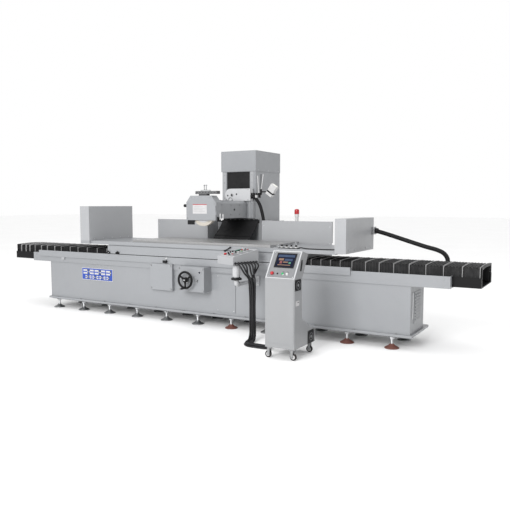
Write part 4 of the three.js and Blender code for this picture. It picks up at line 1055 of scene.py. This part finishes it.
def make_apron():
    """Rubber curtain in two lengths: one hangs from the column, the other slopes up to the batten on the head."""
    b = Box("way_apron")
    hanging = [(0.795, z) for z in spaced(0.76, 0.026, 8)]
    hanging += [(0.7955, 0.955), (0.797, 0.968), (0.803, 0.98), (0.813, 0.992)]
    sloping = apron_line((0.828, APRON_SEAM), (1.046, 1.216))
    apron_length("apron_lower", hanging + sloping[:1],
                 ("machine", "column", row(0, 0.795, 0.957), row(0, 0.795, APRON_SEAM)))
    apron_length("apron_upper", sloping, ("column", "head", row(0, 0, APRON_SEAM), row(0, 0, 1.216)))
    batten = Piece("apron_batten", "rubber")
    batten.box(*ends(b.x0, b.x1, 0.001), 1.0335, b.y1 - 0.0005, 1.211, b.z1 - 0.0005)
    batten.box(b.x1 - 0.01, b.x1 - 0.001, 1.0335, b.y1 - 0.0005, 1.17, 1.212)
    batten.use("dull").screws("-Y", spaced(b.x0 + 0.05, 0.072, 8), 1.0335, 1.2175, 4.5, 2.5)
    batten.done("head", slot="black_rubber", bevel=1.2)


# ---- pendant
PENDANT_STOP = (0.06, 0.21)
COLLAR = (10.5, 0, 15, 0, 15, 3, 13, 5, 10.5, 5)


def pendant_frame(u=0, w=0):
    """Turns shapes given as (u, w, height above the desk) onto the pendant's sloping top."""
    rise = PENDANT_RISE / PENDANT_LENGTH
    origin = Vector(on_pendant(u, w, PENDANT_FRONT + rise * u))
    return (Matrix.Translation(origin) @ Matrix.Rotation(PENDANT_YAW, 4, "Z")
            @ Matrix.Rotation(-math.atan(rise), 4, "Y"))


def make_pendant_details():
    top = Piece("pendant_panel", "bright")
    top.turn = pendant_frame()
    slant = math.hypot(PENDANT_LENGTH, PENDANT_RISE)
    top.box(*ends(0, slant, 0.008), *ends(0, PENDANT_DEPTH, 0.008), 0.0004, 0.003).use("panel")
    for u in (0.045, 0.135, 0.225):
        top.box(u, u + 0.07, 0.018, 0.1, 0.0029, 0.0036)
    # push buttons in one row, and buttons and selector knobs by turns in the next
    for k, colour in enumerate(("dark", "red", "dark", "plastic", "green", "dark", "red")):
        place = (0.045 + k * 0.042, 0.12, 0.003)
        top.use("dull").turned(place, COLLAR, sides=28)
        top.use(colour).knob(place, (10, 0, 10, 8, 8, 10))
    for k, colour in enumerate(("dark", "plastic", "dark", "dark", "red", "dark")):
        u, w = 0.075 + k * 0.045, 0.165
        top.use("dull").turned((u, w, 0.003), COLLAR, sides=28).use(colour)
        if k % 2:
            top.knob((u, w, 0.003), (10, 0, 10, 9, 8, 11))
        else:
            top.turned((u, w, 0.003), (1, 0, 9.5, 0, 9.5, 6, 1, 6.5), sides=28)
            top.box(u - 0.003, u + 0.003, w - 0.0095, w + 0.0095, 0.009, 0.018)
    # display with a green readout, and a row of small knobs
    top.use("dark").box(0.2, 0.29, 0.2, 0.245, 0.0029, 0.0075)
    top.use("lit_green").box(0.206, 0.284, 0.206, 0.239, 0.0074, 0.008).use("dark")
    for u in spaced(0.11, 0.03, 3):
        top.knob((u, 0.222, 0.003), (9, 0, 9.5, 2, 8.5, 12, 7, 14), sides=24)
    # the ring under the mushroom button
    top.use("lit_amber").turned((0.061, 0.21, 0.003), (8.8, 0, 21, 0, 21, 1.2, 8.8, 1.2), sides=36)
    top.use("zinc").screws("Z", ends(0, slant, 0.014), ends(0, PENDANT_DEPTH, 0.014), 0.003, 4, 2)
    top.done("pendant", bevel=0.5)
    glands = Piece("pendant_glands", "dark")
    glands.turn = Matrix.Translation(Vector(on_pendant(0, 0, 0))) @ Matrix.Rotation(PENDANT_YAW, 4, "Z")
    for k, u in enumerate(spaced(GLAND_FIRST, GLAND_PITCH, len(CABLES) + 1)):
        mouth = 9.6 if k < len(CABLES) else 7.5     # the last gland has no cable
        glands.turned((u, -0.0002, GLAND_LEVEL), (1, 0, 15, 0, 15, 4, 1, 4.5), "-Y", 6)
        glands.knob((u, -0.004, GLAND_LEVEL), (12.5, 0, 13, 4, 11, 10, mouth, 10.4), "-Y")
    glands.done("pendant", slot="black_rubber", bevel=0.5)


def make_pendant_arm():
    """The bent tube from the bed to the pendant's post, its flange, and the post's barrel."""
    x, y = PENDANT_PIVOT
    z = 0.575
    elbow = smooth_curve([(x, y, 0.628), (x, y, 0.606), (x, y + 0.006, 0.588), (x, y + 0.022, 0.5765),
                          (x, y + 0.045, z), (x, y + 0.15, z), (x, -0.02, z)], 12)
    arm = Piece("pendant_arm_tube", "bright")
    arm.sweep(rings_along(elbow, lambda s: 0.0255 if s < 0.075 else 0.0202, 32))
    arm.turned((x, y + 0.052, z), (20, 0, 26.2, 0, 26.5, 4, 26.5, 16, 20, 18), "Y", 36)
    arm.use("dark").knob((x, y, 0.6262), (53, 0, 56, 3, 56, 19, 52, 22.5), sides=48)
    arm.use("light").box(x - 0.055, x + 0.055, -0.014, -GAP, 0.52, 0.63)
    arm.turned((x, -0.0135, z), (20, 0, 34, 0, 32, 6, 21.5, 14, 20, 14), "-Y", 36)
    arm.use("zinc").screws("-Y", (x - 0.043, x + 0.043), -0.014, (z - 0.043, z + 0.043), 7, 6)
    arm.done("machine", slot="light_paint", bevel=1, replaces=["pendant_arm"])
    barrel = Piece("pendant_post_barrel", "bright")
    barrel.turned((x, y, 0.652), (30.2, 0, 34, 0, 39.5, 10, 42, 35, 42, 85, 39.5, 112, 35, 128, 30.2, 130))
    barrel.done("pendant", slot="light_paint")


# ---- console
CONSOLE_CHIN = (-0.93, 0.746)
CONSOLE_DESK = (-0.766, 0.989)
CONSOLE_STOP = (0.06, 0.05)


def console_frame(x0):
    """Turns shapes given as (across, up the slope, out of it) onto the console's sloping panel."""
    tilt = math.atan2(CONSOLE_DESK[1] - CONSOLE_CHIN[1], CONSOLE_DESK[0] - CONSOLE_CHIN[0])
    return Matrix.Translation((x0, *CONSOLE_CHIN)) @ Matrix.Rotation(tilt, 4, "X")


def make_stops():
    """Two red mushroom stop buttons on their stems, with moulded rims."""
    on_console = console_frame(Box("console_cabinet").x0) @ Matrix.Translation((*CONSOLE_STOP, 0))
    for place, turn in (("pendant", pendant_frame(*PENDANT_STOP)), ("console", on_console)):
        cap = Piece(f"{place}_stop", "red")
        cap.turn = turn
        cap.turned((0, 0, 0), (1, -12, 7.5, -12, 7.5, 5.5, 16, 5.8, 17.2, 8.5, 16.5, 14, 13, 18.5, 7, 21, 1, 21.5),
                   sides=44)
        cap.done(f"{place}_estop", slot="red_plastic", replaces=[f"{place}_estop"])


def make_console_panel(b):
    """The sloping panel: a screen with lit fields, and buttons and a key switch under it."""
    wide, slope = b.x1 - b.x0, math.dist(CONSOLE_CHIN, CONSOLE_DESK)
    panel = Piece("console_panel", "panel")
    panel.turn = console_frame(b.x0)
    panel.box(*ends(0, wide, 0.018), 0.014, slope - 0.016, 0.0004, 0.0024)
    x0, x1, y0, y1 = 0.068, 0.246, 0.124, 0.252
    panel.use("dark").box(*ends(x0, x1, -0.012), *ends(y0, y1, -0.012), 0.0023, 0.0065)
    panel.use("glass").box(x0, x1, y0, y1, 0.0064, 0.007)
    for colour, left, right, low, high in (
            ("lit_blue", 0.004, 0.174, 0.098, 0.122), ("lit_amber", 0.02, 0.07, 0.062, 0.084),
            ("lit_red", 0.035, 0.06, 0.03, 0.056), ("lit_amber", 0.07, 0.12, 0.04, 0.052),
            ("lit_blue", 0.08, 0.16, 0.058, 0.082), ("lit_green", 0.128, 0.15, 0.03, 0.048),
            ("lit_amber", 0.02, 0.15, 0.012, 0.02)):
        panel.use(colour).box(x0 + left, x0 + right, y0 + low, y0 + high, 0.0069, 0.0074)
    cx, y, face = (*CONSOLE_STOP, 0.0023)
    panel.use("dull").turned((cx, y, face), (8.8, 0, 20.5, 0, 20.5, 1.8, 8.8, 1.8), sides=36)
    for x, colour in ((0.168, "green"), (0.212, "plastic")):
        panel.use("dull").turned((x, y, face), (11, 0, 16.5, 0, 16.5, 4, 11, 6), sides=32)
        panel.use(colour).knob((x, y, face), (10.8, 0, 10.8, 10, 9, 12), sides=32)
        panel.use("dark").box(x - 0.01, x + 0.01, y + 0.02, y + 0.0235, face, 0.003)
    panel.use("dark").turned((0.114, y, face), (1, 0, 8, 0, 8, 5, 1, 5.5), sides=28)
    panel.use("zinc").screws("Z", ends(0, wide, 0.026), (0.022, slope - 0.024), 0.0024, 4, 2)
    panel.done("machine", bevel=0.6)
    # bright folded rim round the panel
    rim = Piece("console_rim", "bright")
    rim.turn = console_frame(b.x0)
    for x0, x1, y0, y1 in (
            (0.001, 0.014, 0.002, slope - 0.003), (wide - 0.014, wide - 0.001, 0.002, slope - 0.003),
            (0.0135, wide - 0.0135, 0.002, 0.011), (0.0135, wide - 0.0135, slope - 0.013, slope - 0.003)):
        rim.box(x0, x1, y0, y1, 0.0004, 0.0042)
    rim.done("machine", slot="light_paint", bevel=1.2)


def make_console_details():
    b = Box("console_cabinet")
    make_console_panel(b)
    # right side: handle slot, two fan grilles and a plain plate
    side = Piece("console_side_parts", "dark")
    x, face = b.x1 + GAP, b.x1 + 0.003
    side.prism([(-0.822, 0.812), (-0.796, 0.812), (-0.772, 0.88), (-0.772, 0.912), (-0.79, 0.912)], "X", x, face)
    for y0, y1, z0, z1, bars in ((-0.925, -0.8, 0.64, 0.742, 7), (-0.648, -0.516, 0.108, 0.232, 8)):
        side.use("dark").box(x, face, y0, y1, z0, z1)
        for z in spaced(z0 + 0.012, (z1 - z0 - 0.024) / (bars - 1), bars):
            side.box(b.x1 + 0.0029, b.x1 + 0.0055, *ends(y0, y1, 0.008), z - 0.0022, z + 0.0022)
        side.use("dull").screws("X", face, ends(y0, y1, 0.006), ends(z0, z1, 0.006), 3, 2)
        centre = (b.x1 + 0.0054, (y0 + y1) / 2, (z0 + z1) / 2)
        side.turned(centre, (33, 0, 37, 0, 37, 1.5, 33, 1.5), "X", 36).knob(centre, (14, 0, 13, 1.5), "X")
    side.use("card").box(x, face, -0.905, -0.835, 0.503, 0.548)
    side.use("dark").box(b.x1 + 0.0029, b.x1 + 0.004, -0.872, -0.846, 0.53, 0.536)
    side.done("machine", bevel=0.6)
    front = Piece("console_front_seam", "cabinet")
    front.box(*ends(b.x0, b.x1, 0.01), b.y0 - 0.0035, b.y0 - GAP, 0.15, 0.728)
    front.done("machine", slot="light_paint", bevel=1.5)
    y = -0.774
    back = Piece("console_back_door", "cabinet").box(*ends(b.x0, b.x1, 0.02), y + GAP, y + 0.003, 0.385, 0.7)
    back.use("dark").rod((b.x1 - 0.045, y + 0.0028, 0.55), 0.01, 0.012, "Y")
    back.done("machine", slot="light_paint", bevel=1)


def make_caster_wheels():
    for tag in ("rear_left", "rear_right", "front_left", "front_right"):
        node = f"caster_wheel_{tag}"
        b = Box(node)
        short = "".join(word[0] for word in tag.split("_"))
        wheel = Piece(f"caster_{tag}", "tyre")
        wheel.turned((b.x, b.y0, b.z), (20.5, 1, 27, 0.5, 30.5, 3, 32, 8, 32, 16, 30.5, 21, 27, 23.5,
                                        20.5, 23), "Y")
        wheel.use("plastic").turned((b.x, b.y0 + 0.001, b.z), (
            4.4, 0, 10, 0, 12, 4, 20, 4, 20.7, 1, 20.7, 21, 20, 18, 12, 18, 10, 22, 4.4, 22), "Y", 40)
        wheel.done(f"caster_wheel_{short}", slot="caster_tread", replaces=[node])


# ---- stage
def make_stage():
    floor = bpy.data.meshes.new("floor")
    size = 60.0
    floor.from_pydata([(-size, -size, 0), (size, -size, 0), (size, size, 0), (-size, size, 0)], [], [(0, 1, 2, 3)])
    stage = bpy.data.objects.new("floor", floor)
    stage.location.z = -0.0005
    s = Shader("pale_floor")
    s.colour(s.ramp(s.noise(0.6, 3), (0.3, 0.94), (0.7, 0.965)))
    s.put("Roughness", 0.9)
    floor.materials.append(s.material)
    bpy.context.collection.objects.link(stage)
    world = bpy.data.worlds.new("studio")
    bpy.context.scene.world = world
    world.use_nodes = True
    background = world.node_tree.nodes["Background"]
    background.inputs["Color"].default_value = (1, 1, 1, 1)
    background.inputs["Strength"].default_value = 1.0
    for name, place, target, width, power in (
            ("key", (1.0, -9.5, 4.5), (0.3, 0.3, 0.8), 4.5, 860),
            ("top", (-1.0, 0.5, 6.5), (0.0, 0.4, 0.5), 4.0, 60)):
        light = bpy.data.lights.new(name, "AREA")
        light.size = width
        light.energy = power
        lamp = bpy.data.objects.new(name, light)
        lamp.location = row(*place)
        lamp.rotation_euler = (row(*target) - lamp.location).to_track_quat("-Z", "Y").to_euler()
        bpy.context.collection.objects.link(lamp)
    bpy.context.scene.view_settings.view_transform = "Standard"


# ---- everything
make_camera()
make_cables()
finish_kept_nodes()
make_feet("feet_front", "front_feet")
make_feet("feet_rear", "rear_feet")
make_bed_details()
make_rear_details()
make_way_cover("bellows_left", "cover_left", Box("bellows_left").x0 + 0.011, Box("bellows_left").x1, LEFT_PLATES)
make_way_cover("bellows_right", "cover_right", Box("bellows_right").x1 - 0.011, Box("bellows_right").x0,
               RIGHT_PLATES)
make_cover_ends()
make_table_details()
make_end_guard_details()
make_table_conduit()
make_handwheel()
make_gearbox_details()
make_reversing_lever()
make_signal_light()
make_splash_details()
make_wheel()
make_guard_details()
make_dresser()
make_nozzle()
make_drive_cover_details()
make_housing_details()
make_bracket_and_lamp()
make_head_conduit()
make_column_details()
make_apron()
make_pendant_details()
make_pendant_arm()
make_stops()
make_console_details()
make_caster_wheels()
make_stage()
